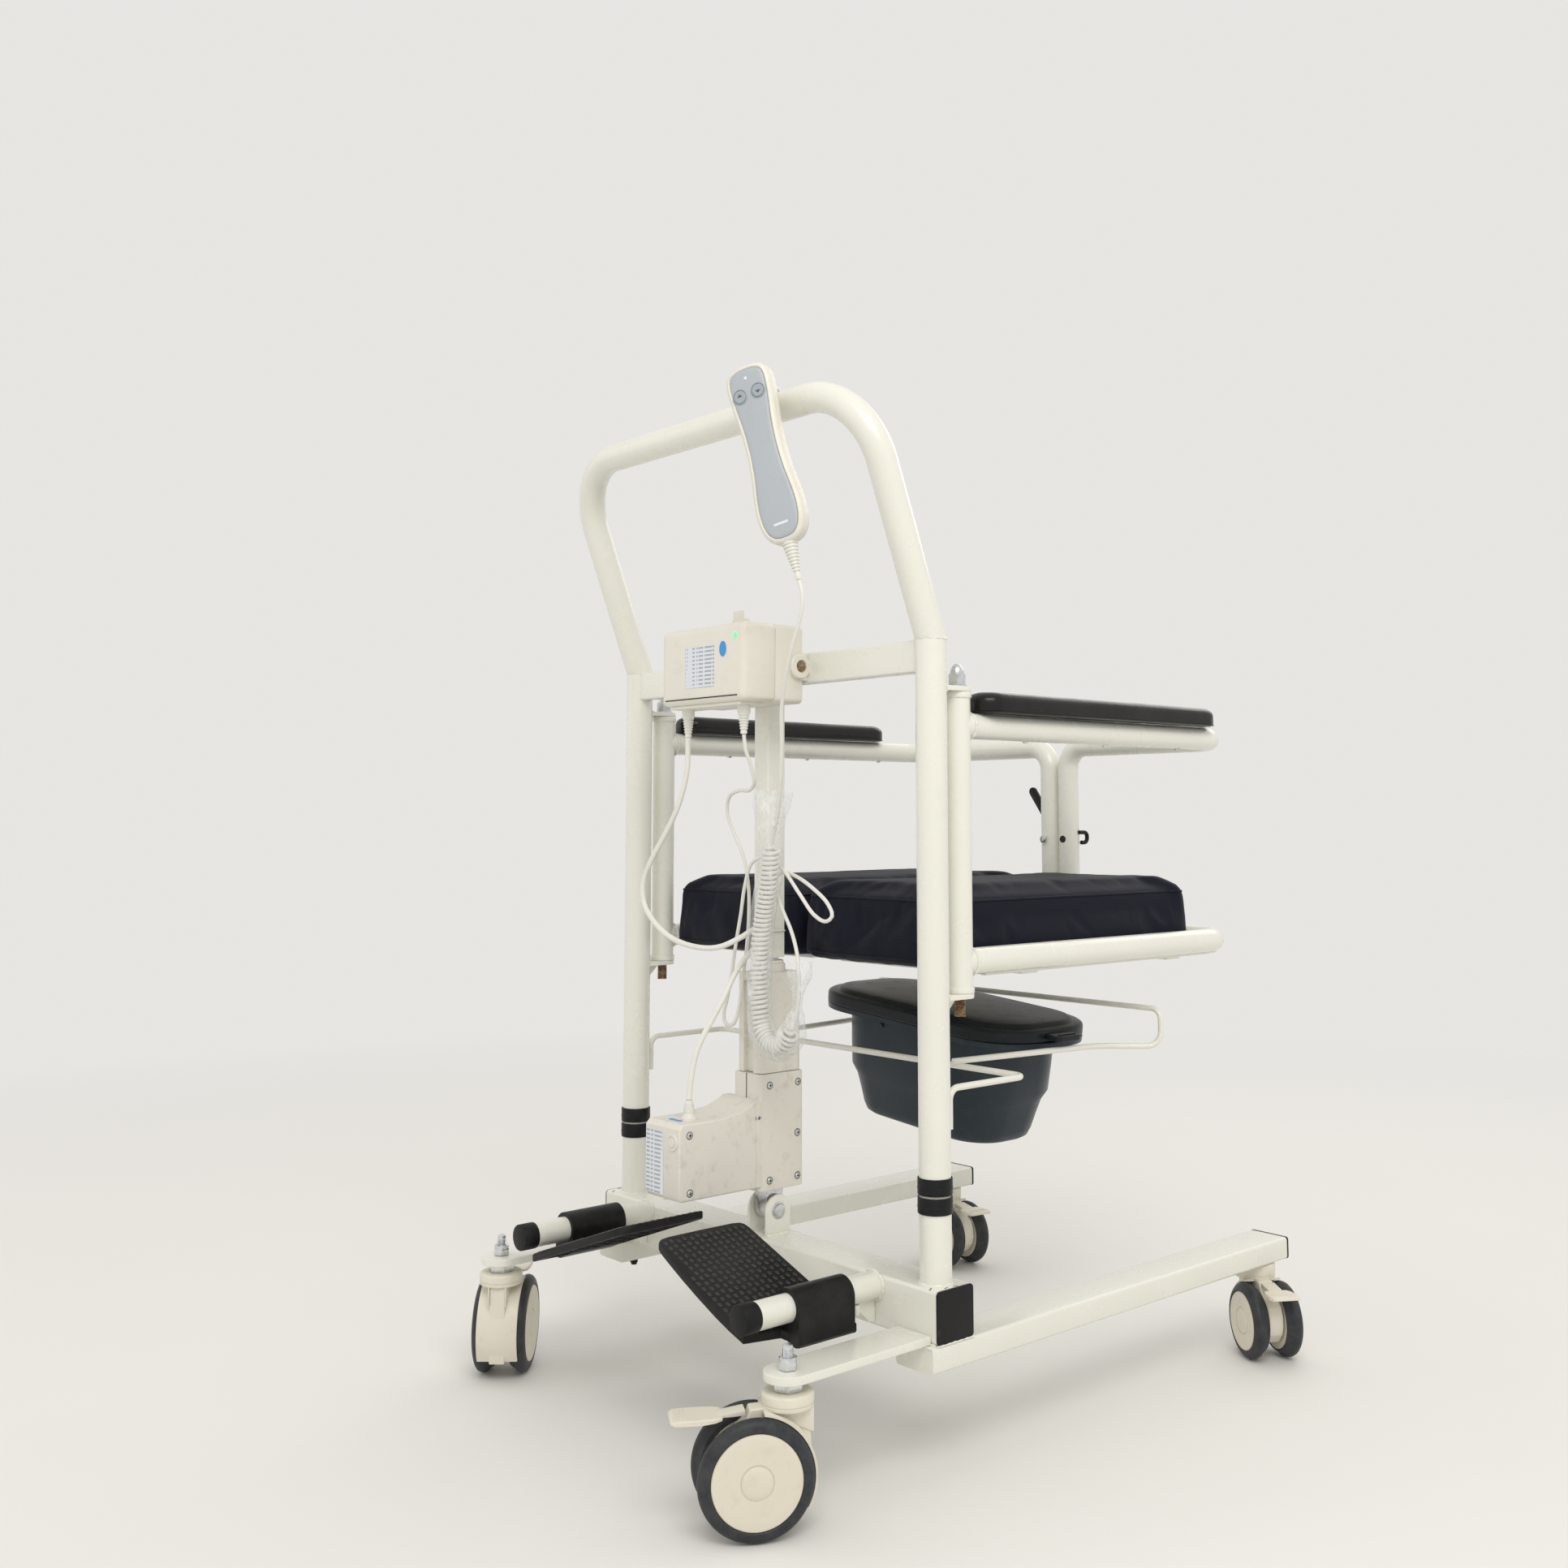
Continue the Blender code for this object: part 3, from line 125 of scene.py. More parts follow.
class Paint:
    """A Principled material and the nodes that vary it."""

    def __init__(self, name, **fixed):
        self.material = bpy.data.materials.new(name)
        self.material.use_nodes = True
        self.tree = self.material.node_tree
        self.shader = self.tree.nodes["Principled BSDF"]
        self.set(**fixed)

    def plug(self, socket, value):
        if isinstance(value, Wire):
            self.tree.links.new(value.socket, socket)
        elif isinstance(value, tuple) and len(value) == 3 and len(socket.default_value) == 4:
            socket.default_value = (*value, 1.0)
        else:
            socket.default_value = value

    def node(self, kind, settings, sockets, output=0):
        node = self.tree.nodes.new(kind)
        for key, value in settings.items():
            if key == "stops":
                ramp = node.color_ramp
                while len(ramp.elements) < len(value):
                    ramp.elements.new(0.5)
                for element, (place, colour) in zip(ramp.elements, value):
                    element.position = place
                    element.color = (*colour, 1.0) if isinstance(colour,
                                                                 tuple) else (colour, colour, colour, 1.0)
            else:
                setattr(node, key, value)
        for key, value in sockets.items():
            self.plug(node.inputs[key], value)
        return Wire(self, node.outputs[output])

    def set(self, **values):
        for key, value in values.items():
            self.plug(self.shader.inputs[key.replace("_", " ")], value)

    def place(self, stretch=(1.0, 1.0, 1.0)):
        where = self.node("ShaderNodeTexCoord", {}, {}, "Object")
        return self.node("ShaderNodeMapping", {}, {"Vector": where, "Scale": stretch})

    def axis(self, name):
        return self.node("ShaderNodeSeparateXYZ", {}, {"Vector": self.place()}, name)

    def noise(self, scale, detail=3.0, roughness=0.55, stretch=(1.0, 1.0, 1.0)):
        sockets = {"Vector": self.place(stretch), "Scale": scale, "Detail": detail, "Roughness": roughness}
        return self.node("ShaderNodeTexNoise", {}, sockets, "Fac")

    def cells(self, scale, feature="F1", stretch=(1.0, 1.0, 1.0)):
        sockets = {"Vector": self.place(stretch), "Scale": scale}
        return self.node("ShaderNodeTexVoronoi", {"feature": feature}, sockets, "Distance")

    def wave(self, scale, direction, distortion=0.0):
        settings = {"wave_type": "BANDS", "bands_direction": direction}
        sockets = {"Vector": self.place(), "Scale": scale, "Distortion": distortion}
        return self.node("ShaderNodeTexWave", settings, sockets, "Fac")

    def steps(self, wire, *stops):
        return self.node("ShaderNodeValToRGB", {"stops": stops}, {0: wire})

    def mix(self, factor, first, second):
        settings = {"data_type": "RGBA"}
        return self.node("ShaderNodeMix", settings, {0: factor, 6: first, 7: second}, 2)

    def bump(self, height, distance, strength=1.0, below=None):
        sockets = {"Height": height, "Distance": distance, "Strength": strength}
        if below:
            sockets["Normal"] = below
        return self.node("ShaderNodeBump", {}, sockets)


def powder_coat():
    """Gloss warm-white powder coat with faint orange peel, dull patches and scuffs."""
    paint = Paint("powder_coat_white", Coat_Roughness=0.12)
    patches = paint.noise(9.0, 4.0)
    smudges = paint.steps(paint.noise(26.0, 6.0, 0.7), (0.56, 0.0), (0.74, 1.0))
    specks = paint.steps(paint.cells(55.0), (0.015, 1.0), (0.035, 0.0))
    low = paint.steps(paint.axis("Z"), (0.05, 1.0), (0.32, 0.0))
    base = paint.mix(patches, (0.755, 0.75, 0.672), (0.815, 0.81, 0.738))
    base = paint.mix(smudges * 0.05 + smudges * low * 0.07, base, (0.52, 0.5, 0.43))
    base = paint.mix(specks * smudges * 0.4, base, (0.25, 0.22, 0.18))
    peel = paint.bump(paint.noise(420.0, 2.0), 0.00012, 0.35)
    paint.set(Base_Color=base, Roughness=patches * 0.06 + smudges * 0.03 + 0.24, Normal=peel)
    paint.set(Coat_Weight=0.25)
    return paint.material


def moulded(name, light, dark, roughness, grain=700.0, stain=0.0, stain_colour=(0.3, 0.25, 0.18),
            shine=0.5):
    """Moulded plastic: fine spark-eroded grain, uneven ageing and handling marks."""
    paint = Paint(name, Specular_IOR_Level=shine)
    patches = paint.noise(14.0, 4.0)
    marks = paint.steps(paint.noise(48.0, 7.0, 0.72), (0.54, 0.0), (0.72, 1.0))
    base = paint.mix(patches, dark, light)
    base = paint.mix(marks * stain, base, stain_colour)
    skin = paint.bump(paint.noise(grain, 2.0), 0.0001, 0.3)
    paint.set(Base_Color=base, Roughness=patches * 0.08 + marks * 0.12 + roughness, Normal=skin)
    return paint.material


def tread_plastic():
    """Black footplate plastic, dusty grey where shoes have worn it."""
    paint = Paint("tread_black", Specular_IOR_Level=0.22)
    dust = paint.steps(paint.noise(30.0, 6.0, 0.7), (0.45, 0.0), (0.75, 1.0))
    fine = paint.noise(260.0, 4.0)
    base = paint.mix(dust * 0.5 + fine * 0.2, (0.007, 0.007, 0.008), (0.034, 0.033, 0.031))
    skin = paint.bump(fine, 0.0002, 0.35)
    paint.set(Base_Color=base, Roughness=dust * 0.2 + 0.38, Normal=skin)
    return paint.material


def tyre_rubber():
    paint = Paint("tyre_charcoal", Specular_IOR_Level=0.3)
    dust = paint.steps(paint.noise(60.0, 6.0, 0.7), (0.4, 0.0), (0.75, 1.0))
    base = paint.mix(dust, (0.026, 0.029, 0.034), (0.06, 0.061, 0.062))
    skin = paint.bump(paint.noise(500.0, 3.0), 0.0002, 0.4)
    paint.set(Base_Color=base, Roughness=dust * 0.25 + 0.42, Normal=skin)
    return paint.material


def armrest_skin():
    """Glossy black self-skinned foam with a soft leathery grain."""
    paint = Paint("armrest_skin_black", Specular_IOR_Level=0.3, Coat_Roughness=0.18)
    grain = paint.cells(240.0)
    rubbed = paint.steps(paint.noise(16.0, 5.0, 0.6), (0.42, 0.0), (0.7, 1.0))
    base = paint.mix(rubbed, (0.003, 0.0025, 0.0025), (0.01, 0.008, 0.007))
    skin = paint.bump(grain, 0.00025, 0.35, paint.bump(paint.noise(35.0), 0.0012, 0.3))
    paint.set(Base_Color=base, Roughness=rubbed * 0.14 + 0.16, Normal=skin, Coat_Weight=0.1)
    return paint.material


def seat_fabric():
    """Navy coated cloth: a fine square weave and soft creases."""
    paint = Paint("seat_cloth_navy", Specular_IOR_Level=0.14, Sheen_Weight=0.02, Sheen_Roughness=0.5)
    weave = paint.wave(260.0, "X") * 0.5 + paint.wave(260.0, "Y") * 0.5
    side_weave = paint.wave(260.0, "Z") * 0.5
    shade = paint.noise(18.0, 4.0)
    lint = paint.steps(paint.noise(320.0, 3.0), (0.66, 0.0), (0.8, 1.0))
    base = paint.mix(shade, (0.0042, 0.005, 0.0115), (0.008, 0.0092, 0.02))
    base = paint.mix(lint * 0.06, base, (0.06, 0.07, 0.1))
    creases = paint.bump(paint.noise(14.0, 3.0, 0.5, (1.0, 0.45, 1.0)), 0.003, 0.22)
    paint.set(Base_Color=base, Roughness=shade * 0.1 + 0.56,
              Normal=paint.bump(weave + side_weave, 0.00025, 0.35, creases))
    return paint.material


def metal(name, bright, dull, roughness, brushed=(1.0, 1.0, 14.0)):
    paint = Paint(name, Metallic=1.0)
    lines = paint.noise(180.0, 4.0, 0.6, brushed)
    tarnish = paint.steps(paint.noise(70.0, 5.0), (0.45, 0.0), (0.75, 1.0))
    paint.set(Base_Color=paint.mix(tarnish, bright, dull), Roughness=lines * 0.15 + roughness)
    paint.set(Normal=paint.bump(lines, 0.0001, 0.2))
    return paint.material


def rusty_steel():
    paint = Paint("rusty_steel")
    rust = paint.steps(paint.noise(160.0, 6.0, 0.7), (0.35, 0.0), (0.6, 1.0))
    base = paint.mix(rust, (0.42, 0.34, 0.22), (0.13, 0.055, 0.018))
    paint.set(Base_Color=base, Metallic=1.0 - rust * 0.9, Roughness=rust * 0.4 + 0.38)
    paint.set(Normal=paint.bump(rust, 0.0003, 0.5))
    return paint.material


def clear_film():
    """Thin clear sleeve: mostly see-through, whiter where it is creased."""
    paint = Paint("clear_film", IOR=1.45)
    creases = paint.steps(paint.noise(60.0, 5.0, 0.65, (1.0, 1.0, 0.45)), (0.5, 0.0), (0.66, 1.0))
    paint.set(Base_Color=paint.mix(creases, (0.8, 0.82, 0.82), (0.97, 0.98, 0.98)))
    paint.set(Alpha=(creases * 0.3 + 0.22).clamp(), Roughness=creases * 0.1 + 0.12)
    paint.set(Normal=paint.bump(creases, 0.002, 0.7))
    paint.material.surface_render_method = "BLENDED"
    return paint.material


def printed_label():
    """Pale label with rows of plain grey bars in place of lettering."""
    paint = Paint("label_print", Roughness=0.35)
    rows = paint.wave(60.0, "Z") > 0.62
    words = paint.noise(60.0, 2.0, 0.5, (3.0, 3.0, 0.05)) > 0.46
    tint = paint.noise(30.0)
    base = paint.mix(tint, (0.66, 0.69, 0.75), (0.74, 0.77, 0.82))
    paint.set(Base_Color=paint.mix(rows * words * 0.6, base, (0.13, 0.15, 0.19)))
    return paint.material


def glowing(name, colour, strength):
    paint = Paint(name, Roughness=0.25)
    core = paint.noise(900.0, 1.0)
    paint.set(Base_Color=paint.mix(core, colour, tuple(min(1.0, c * 1.2 + 0.02) for c in colour)))
    paint.set(Emission_Color=colour, Emission_Strength=strength)
    return paint.material


PAINT = {
    "white": powder_coat(),
    "cream": moulded("plastic_cream", (0.79, 0.765, 0.685), (0.72, 0.695, 0.605), 0.36, stain=0.1),
    "housing": moulded("plastic_housing_cream", (0.765, 0.74, 0.675), (0.7, 0.675, 0.6), 0.4, stain=0.3),
    "caster": moulded("plastic_caster_cream", (0.77, 0.735, 0.635), (0.69, 0.65, 0.54), 0.34, stain=0.16),
    "hub": moulded("plastic_hub_cream", (0.75, 0.71, 0.6), (0.69, 0.645, 0.53), 0.38, stain=0.12),
    "black": moulded("plastic_black", (0.012, 0.012, 0.013), (0.005, 0.005, 0.006), 0.34, stain=0.15,
                     stain_colour=(0.045, 0.044, 0.042), shine=0.22),
    "rubber": moulded("rubber_black", (0.012, 0.012, 0.013), (0.006, 0.006, 0.007), 0.44, stain=0.2,
                      stain_colour=(0.045, 0.045, 0.044), shine=0.22),
    "tread": tread_plastic(),
    "pips": moulded("tread_pips", (0.035, 0.035, 0.036), (0.018, 0.018, 0.019), 0.4, stain=0.5,
                    stain_colour=(0.085, 0.083, 0.08)),
    "tyre": tyre_rubber(),
    "pad": armrest_skin(),
    "cloth": seat_fabric(),
    "thread": moulded("piping_navy", (0.01, 0.011, 0.022), (0.005, 0.006, 0.013), 0.55,
                      grain=1400.0, shine=0.14),
    "slate": moulded("plastic_slate", (0.033, 0.044, 0.056), (0.022, 0.031, 0.041), 0.28, stain=0.15,
                     stain_colour=(0.09, 0.1, 0.11), shine=0.22),
    "lid": moulded("plastic_lid_dark", (0.013, 0.016, 0.02), (0.008, 0.01, 0.013), 0.32, stain=0.12,
                   stain_colour=(0.06, 0.06, 0.06), shine=0.22),
    "zinc": metal("zinc_plated", (0.72, 0.74, 0.76), (0.45, 0.47, 0.48), 0.2),
    "steel": metal("rod_steel", (0.66, 0.66, 0.66), (0.42, 0.42, 0.42), 0.16),
    "rust": rusty_steel(),
    "cable": moulded("cable_sheath", (0.8, 0.79, 0.74), (0.72, 0.71, 0.655), 0.36,
                     grain=1500.0, stain=0.12),
    "film": clear_film(),
    "face": moulded("handset_face", (0.45, 0.485, 0.52), (0.41, 0.445, 0.48), 0.34,
                    grain=1600.0, stain=0.1),
    "button": moulded("handset_button", (0.37, 0.41, 0.45), (0.33, 0.37, 0.41), 0.3,
                      grain=1800.0, stain=0.1),
    "mark": moulded("print_pale", (0.8, 0.82, 0.84), (0.72, 0.75, 0.78), 0.45, grain=2000.0),
    "label": printed_label(),
    "symbol": moulded("symbol_dark", (0.1, 0.12, 0.15), (0.07, 0.09, 0.11), 0.4, grain=2000.0),
    "blue": moulded("sticker_blue", (0.035, 0.3, 0.72), (0.025, 0.25, 0.64), 0.32, grain=2000.0),
    "green": glowing("light_green", (0.1, 0.72, 0.24), 0.9),
    # Near-black matte: painted shade in seams, slots, grooves and holes, and also the fitter's real marks
    # on the beam.
    "dark": moulded("gap_shade_and_marks", (0.02, 0.019, 0.017), (0.01, 0.01, 0.009), 0.7, grain=900.0),
}


# ---------------------------------------------------------------- shape helpers
def turns(count, start=0.0):
    return [start + TAU * i / count for i in range(count)]


def circle(radius, count=40, centre=(0.0, 0.0), start=0.0):
    return [(centre[0] + radius * math.cos(a), centre[1] + radius * math.sin(a))
            for a in turns(count, start)]


def rounded(low, high, radius, steps=5):
    """A rectangle with round corners."""
    points = []
    centres = [(high[0] - radius, high[1] - radius), (low[0] + radius, high[1] - radius),
               (low[0] + radius, low[1] + radius), (high[0] - radius, low[1] + radius)]
    for quarter, (x, y) in enumerate(centres):
        for step in range(steps + 1):
            a = math.pi / 2 * (quarter + step / steps)
            points.append((x + radius * math.cos(a), y + radius * math.sin(a)))
    return points


def loft(rings, closed=False, bm=None):
    """Skin over rings of points, capped at its ends or joined round."""
    bm = bm or bmesh.new()
    loops = [[bm.verts.new(p) for p in points] for points in rings]
    pairs = list(zip(loops, loops[1:])) + ([(loops[-1], loops[0])] if closed else [])
    for lower, upper in pairs:
        for i in range(len(lower)):
            j = (i + 1) % len(lower)
            bm.faces.new((lower[i], lower[j], upper[j], upper[i]))
    if not closed:
        bm.faces.new(loops[0][::-1])
        bm.faces.new(loops[-1])
    return bm


def slab(outline, axis, start, end, bm=None):
    """An outline pushed along an axis; its two numbers are the other two coordinates."""
    index = "xyz".index(axis)

    def at(point, level):
        values = list(point)
        values.insert(index, level)
        return values

    return loft([[at(p, level) for p in outline] for level in (start, end)], bm=bm)


def turned(profile, count=48, closed=False, bm=None):
    """(radius, z) points turned about Z."""
    rings = [[(r * math.cos(a), r * math.sin(a), z) for a in turns(count)] for r, z in profile]
    return loft(rings, closed, bm)


def arc(centre, radius, first, last, steps):
    """Points along part of a circle, angles in radians."""
    angles = [first + (last - first) * i / steps for i in range(steps + 1)]
    return [(centre[0] + radius * math.cos(a), centre[1] + radius * math.sin(a)) for a in angles]


def box(low, high, bm=None):
    outline = [(low[0], low[1]), (high[0], low[1]), (high[0], high[1]), (low[0], high[1])]
    return slab(outline, "z", low[2], high[2], bm)


def add(*parts):
    """Several bmeshes in one."""
    whole = bmesh.new()
    for part in parts:
        mesh = bpy.data.meshes.new("part")
        part.to_mesh(mesh)
        part.free()
        whole.from_mesh(mesh)
        bpy.data.meshes.remove(mesh)
    return whole


def moved(bm, matrix):
    bmesh.ops.transform(bm, matrix=matrix, verts=bm.verts)
    return bm


def shifted(bm, x, y, z):
    return moved(bm, Matrix.Translation((x, y, z)))


def laid(bm, axis, place=(0.0, 0.0, 0.0)):
    """A shape given a quarter turn about an axis and put in place."""
    return moved(bm, Matrix.Translation(place) @ Matrix.Rotation(math.pi / 2, 4, axis))


def softened(bm, width, segments=3, angle=28.0):
    """Rounds every edge sharper than the angle."""
    bmesh.ops.remove_doubles(bm, verts=bm.verts, dist=1e-6)
    bmesh.ops.recalc_face_normals(bm, faces=bm.faces)
    sharp = [e for e in bm.edges if len(e.link_faces) == 2 and e.calc_face_angle(0.0) > math.radians(angle)]
    bmesh.ops.bevel(bm, geom=sharp, offset=width, segments=segments, profile=0.6, affect="EDGES",
                    clamp_overlap=True)
    return bm


def eased(outline, axis, start, end, width, segments=3, angle=28.0):
    """A slab with its edges rounded."""
    return softened(slab(outline, axis, start, end), width, segments, angle)


def eased_box(low, high, width, segments=3):
    return softened(box(low, high), width, segments)


def finger_ribs(z, end, radius, depth, flat, slope, pitch, taper):
    """Profile of ribs that get thinner from z to the end: each has a flat top and a groove after it."""
    way = 1 if end > z else -1
    profile = []
    while (end - z) * way > 0:
        inner = radius - depth
        profile += [(radius, z), (radius, z + way * flat), (inner, z + way * (flat + slope)),
                    (inner, z + way * (flat + slope + 0.001))]
        z += way * pitch
        radius -= taper
    return profile


def thread(z, end, crest, root, pitch):
    """Profile of a screw thread, drawn as rings."""
    profile = []
    while z < end:
        profile += [(crest, z), (root, z + pitch / 2)]
        z += pitch
    return profile


def arcs(corners, radii, steps=10):
    """Straight runs joined by round bends."""
    corners = [Vector(c) for c in corners]
    points = [corners[0]]
    for before, corner, after, radius in zip(corners, corners[1:], corners[2:], radii):
        inward = (before - corner).normalized()
        outward = (after - corner).normalized()
        half = inward.angle(outward) / 2
        centre = corner + (inward + outward).normalized() * (radius / math.sin(half))
        first = (corner + inward * radius / math.tan(half) - centre).normalized()
        last = (corner + outward * radius / math.tan(half) - centre).normalized()
        for step in range(steps + 1):
            points.append(centre + first.slerp(last, step / steps).normalized() * radius)
    points.append(corners[-1])
    return points


def sweep(points, radius, count=32, wall=0.0, levels=None):
    """A round bar along a path, or an open tube with a wall; radius may be one number per point."""
    points = [Vector(p) for p in points]
    radii = radius if isinstance(radius, (list, tuple)) else [radius] * len(points)
    tangents = [(points[min(i + 1, len(points) - 1)] - points[max(i - 1, 0)]).normalized()
                for i in range(len(points))]
    side = tangents[0].orthogonal().normalized()
    frames = []
    for point, tangent in zip(points, tangents):
        side = (side - tangent * side.dot(tangent)).normalized()
        frames.append((point, tangent, side.copy(), tangent.cross(side)))

    def ring(index, reach):
        point, tangent, across, up = frames[index]
        loop = [point + across * reach * math.cos(a) + up * reach * math.sin(a) for a in turns(count)]
        if levels and index in (0, len(points) - 1):
            level = levels[0 if index == 0 else 1]
            loop = [p + tangent * ((level - p.z) / tangent.z) for p in loop]
        return loop

    rings = [ring(i, radii[i]) for i in range(len(points))]
    if not wall:
        return loft(rings)
    return loft(rings + [ring(i, radii[i] - wall) for i in reversed(range(len(points)))], closed=True)


def smooth_route(route, spacing):
    """Even points along a smooth curve through the route."""
    route = [Vector(p) for p in route]
    padded = [route[0] * 2 - route[1]] + route + [route[-1] * 2 - route[-2]]
    dense = []
    for p0, p1, p2, p3 in zip(padded, padded[1:], padded[2:], padded[3:]):
        t1 = math.sqrt((p1 - p0).length)
        t2 = t1 + math.sqrt((p2 - p1).length)
        t3 = t2 + math.sqrt((p3 - p2).length)
        for step in range(24):
            t = t1 + (t2 - t1) * step / 24
            a1 = p0 * ((t1 - t) / t1) + p1 * (t / t1)
            a2 = p1 * ((t2 - t) / (t2 - t1)) + p2 * ((t - t1) / (t2 - t1))
            a3 = p2 * ((t3 - t) / (t3 - t2)) + p3 * ((t - t2) / (t3 - t2))
            b1 = a1 * ((t2 - t) / t2) + a2 * (t / t2)
            b2 = a2 * ((t3 - t) / (t3 - t1)) + a3 * ((t - t1) / (t3 - t1))
            dense.append(b1 * ((t2 - t) / (t2 - t1)) + b2 * ((t - t1) / (t2 - t1)))
    dense.append(route[-1])
    lengths = [0.0]
    for before, after in zip(dense, dense[1:]):
        lengths.append(lengths[-1] + (after - before).length)
    count = max(2, round(lengths[-1] / spacing))
    points = []
    index = 0
    for step in range(count + 1):
        target = lengths[-1] * step / count
        while index < len(lengths) - 2 and lengths[index + 1] < target:
            index += 1
        span = lengths[index + 1] - lengths[index]
        points.append(dense[index].lerp(dense[index + 1], (target - lengths[index]) / span))
    return points


def path_length(points):
    return sum((b - a).length for a, b in zip(points, points[1:]))


def piece(name, bm, paint, body, replaces=(), at=None, angle=35.0, moving=True):
    """A finished piece: placed, shaded, painted, riding on its body."""
    if at:
        moved(bm, at)
    shifted(bm, *ORIGIN)
    bmesh.ops.remove_doubles(bm, verts=bm.verts, dist=1e-6)
    bmesh.ops.recalc_face_normals(bm, faces=bm.faces)
    mesh = bpy.data.meshes.new(name)
    bm.to_mesh(mesh)
    bm.free()
    item = bpy.data.objects.new(name, mesh)
    bpy.context.scene.collection.objects.link(item)
    mesh.materials.append(PAINT[paint])
    mesh.shade_smooth()
    mesh.set_sharp_from_angle(angle=math.radians(angle))
    if moving:
        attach(item, body)
    if replaces:
        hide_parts(*([replaces] if isinstance(replaces, str) else replaces))
    return item


def weld(points, radius=0.0022):
    """A lumpy bead along a line."""
    path = smooth_route(points, 0.003)
    radii = [radius * (0.85 + 0.25 * math.sin(i * 1.9) + 0.12 * math.sin(i * 0.7))
             for i in range(len(path))]
    return sweep(path, radii, 8)


def ring_weld(radius, z, start=0.0, end=TAU, size=0.0022, count=26):
    return weld([(x, y, z) for x, y in arc((0.0, 0.0), radius, start, end, count)], size)


def hexagon(across_flats, start=0.0):
    return circle(across_flats / math.sqrt(3.0), 6, start=start)


def acorn_nut(across, height, z):
    """Hexagon with a domed cap."""
    body = eased(hexagon(across, 0.3), "z", z, z + height * 0.5, 0.0006, 2)
    r, steps = across * 0.43, 8
    rise = [math.pi / 2 * i / steps for i in range(steps)]
    profile = [(r * math.cos(a), z + height * 0.52 + height * 0.48 * math.sin(a)) for a in rise]
    dome = turned([(r, z + height * 0.5)] + profile, 28)
    return add(body, dome)


def screw_head(radius, depth=0.0016):
    """Pan head with a cross slot, facing +X from x = 0."""
    profile = [(radius, 0.0), (radius, depth * 0.4), (radius * 0.85, depth * 0.85), (radius * 0.4, depth)]
    head = turned(profile, 24)
    return laid(head, "Y")


# ---------------------------------------------------------------- camera, light, floor
def camera():
    """Camera at the chosen front-right viewing place."""
    focal, centre = 1943.2, (1016.3, 825.2)
    yaw, pitch, roll = 0.8461, 0.09505, -0.00173
    forward = Vector((-math.sin(yaw) * math.cos(pitch), math.cos(yaw) * math.cos(pitch), math.sin(pitch)))
    level = Vector((math.cos(yaw), math.sin(yaw), 0.0))
    upward = level.cross(forward)
    right = level * math.cos(roll) + upward * math.sin(roll)
    up = upward * math.cos(roll) - level * math.sin(roll)
    data = bpy.data.cameras.new("camera")
    data.sensor_width = 36.0
    data.lens = 36.0 * focal / 1932
    data.shift_x = -(centre[0] - 966) / 1932
    data.shift_y = (centre[1] - 966) / 1932
    data.clip_start = 0.05
    item = bpy.data.objects.new("camera", data)
    bpy.context.scene.collection.objects.link(item)
    turn = Matrix((right, up, -forward)).transposed().to_4x4()
    item.matrix_world = Matrix.Translation(Vector((1.63739, -1.35048, 0.74736)) + ORIGIN) @ turn
    bpy.context.scene.camera = item


def area_light(name, place, aim, size, power, colour=(1.0, 1.0, 1.0)):
    data = bpy.data.lights.new(name, "AREA")
    data.shape = "RECTANGLE"
    data.size, data.size_y = size
    data.energy = power
    data.color = colour
    item = bpy.data.objects.new(name, data)
    bpy.context.scene.collection.objects.link(item)
    item.location = place
    item.rotation_euler = (Vector(aim) - Vector(place)).to_track_quat("-Z", "Y").to_euler()


def studio():
    """Even pale surroundings, three soft lights and a pale floor."""
    world = bpy.data.worlds.new("studio")
    world.use_nodes = True
    background = world.node_tree.nodes["Background"]
    background.inputs["Color"].default_value = (1.0, 0.985, 0.955, 1.0)
    background.inputs["Strength"].default_value = 0.8
    bpy.context.scene.world = world
    bpy.context.scene.view_settings.view_transform = "Standard"
    area_light("key", (2.4, -1.6, 3.0), (0.0, 0.0, 0.6), (2.2, 1.6), 52.0, (1.0, 0.975, 0.93))
    area_light("fill", (-2.6, -2.0, 1.9), (0.0, 0.0, 0.6), (2.4, 2.0), 6.0, (1.0, 0.99, 0.97))
    area_light("back", (-0.6, 3.0, 2.6), (0.0, 0.0, 0.7), (2.6, 1.4), 16.0, (1.0, 0.98, 0.95))
    floor = Paint("studio_floor", Roughness=0.6)
    reach = floor.axis("X").power(2.0) + floor.axis("Y").power(2.0)
    far = floor.steps(reach * 0.05, (0.07, 0.0), (0.65, 1.0))
    near_floor = floor.mix(floor.noise(2.0), (0.8, 0.79, 0.765), (0.82, 0.81, 0.785))
    floor.set(Base_Color=floor.mix(far, near_floor, (0.0, 0.0, 0.0)), Emission_Strength=1.0)
    floor.set(Emission_Color=floor.mix(far, (0.0, 0.0, 0.0), (0.8, 0.788, 0.764)), Specular_IOR_Level=0.0)
    bm = bmesh.new()
    bmesh.ops.create_grid(bm, x_segments=2, y_segments=2, size=14.0)
    mesh = bpy.data.meshes.new("floor")
    bm.to_mesh(mesh)
    bm.free()
    mesh.materials.append(floor.material)
    ground = bpy.data.objects.new("floor", mesh)
    ground.location = (0.0, 0.0, -0.0005)
    bpy.context.scene.collection.objects.link(ground)


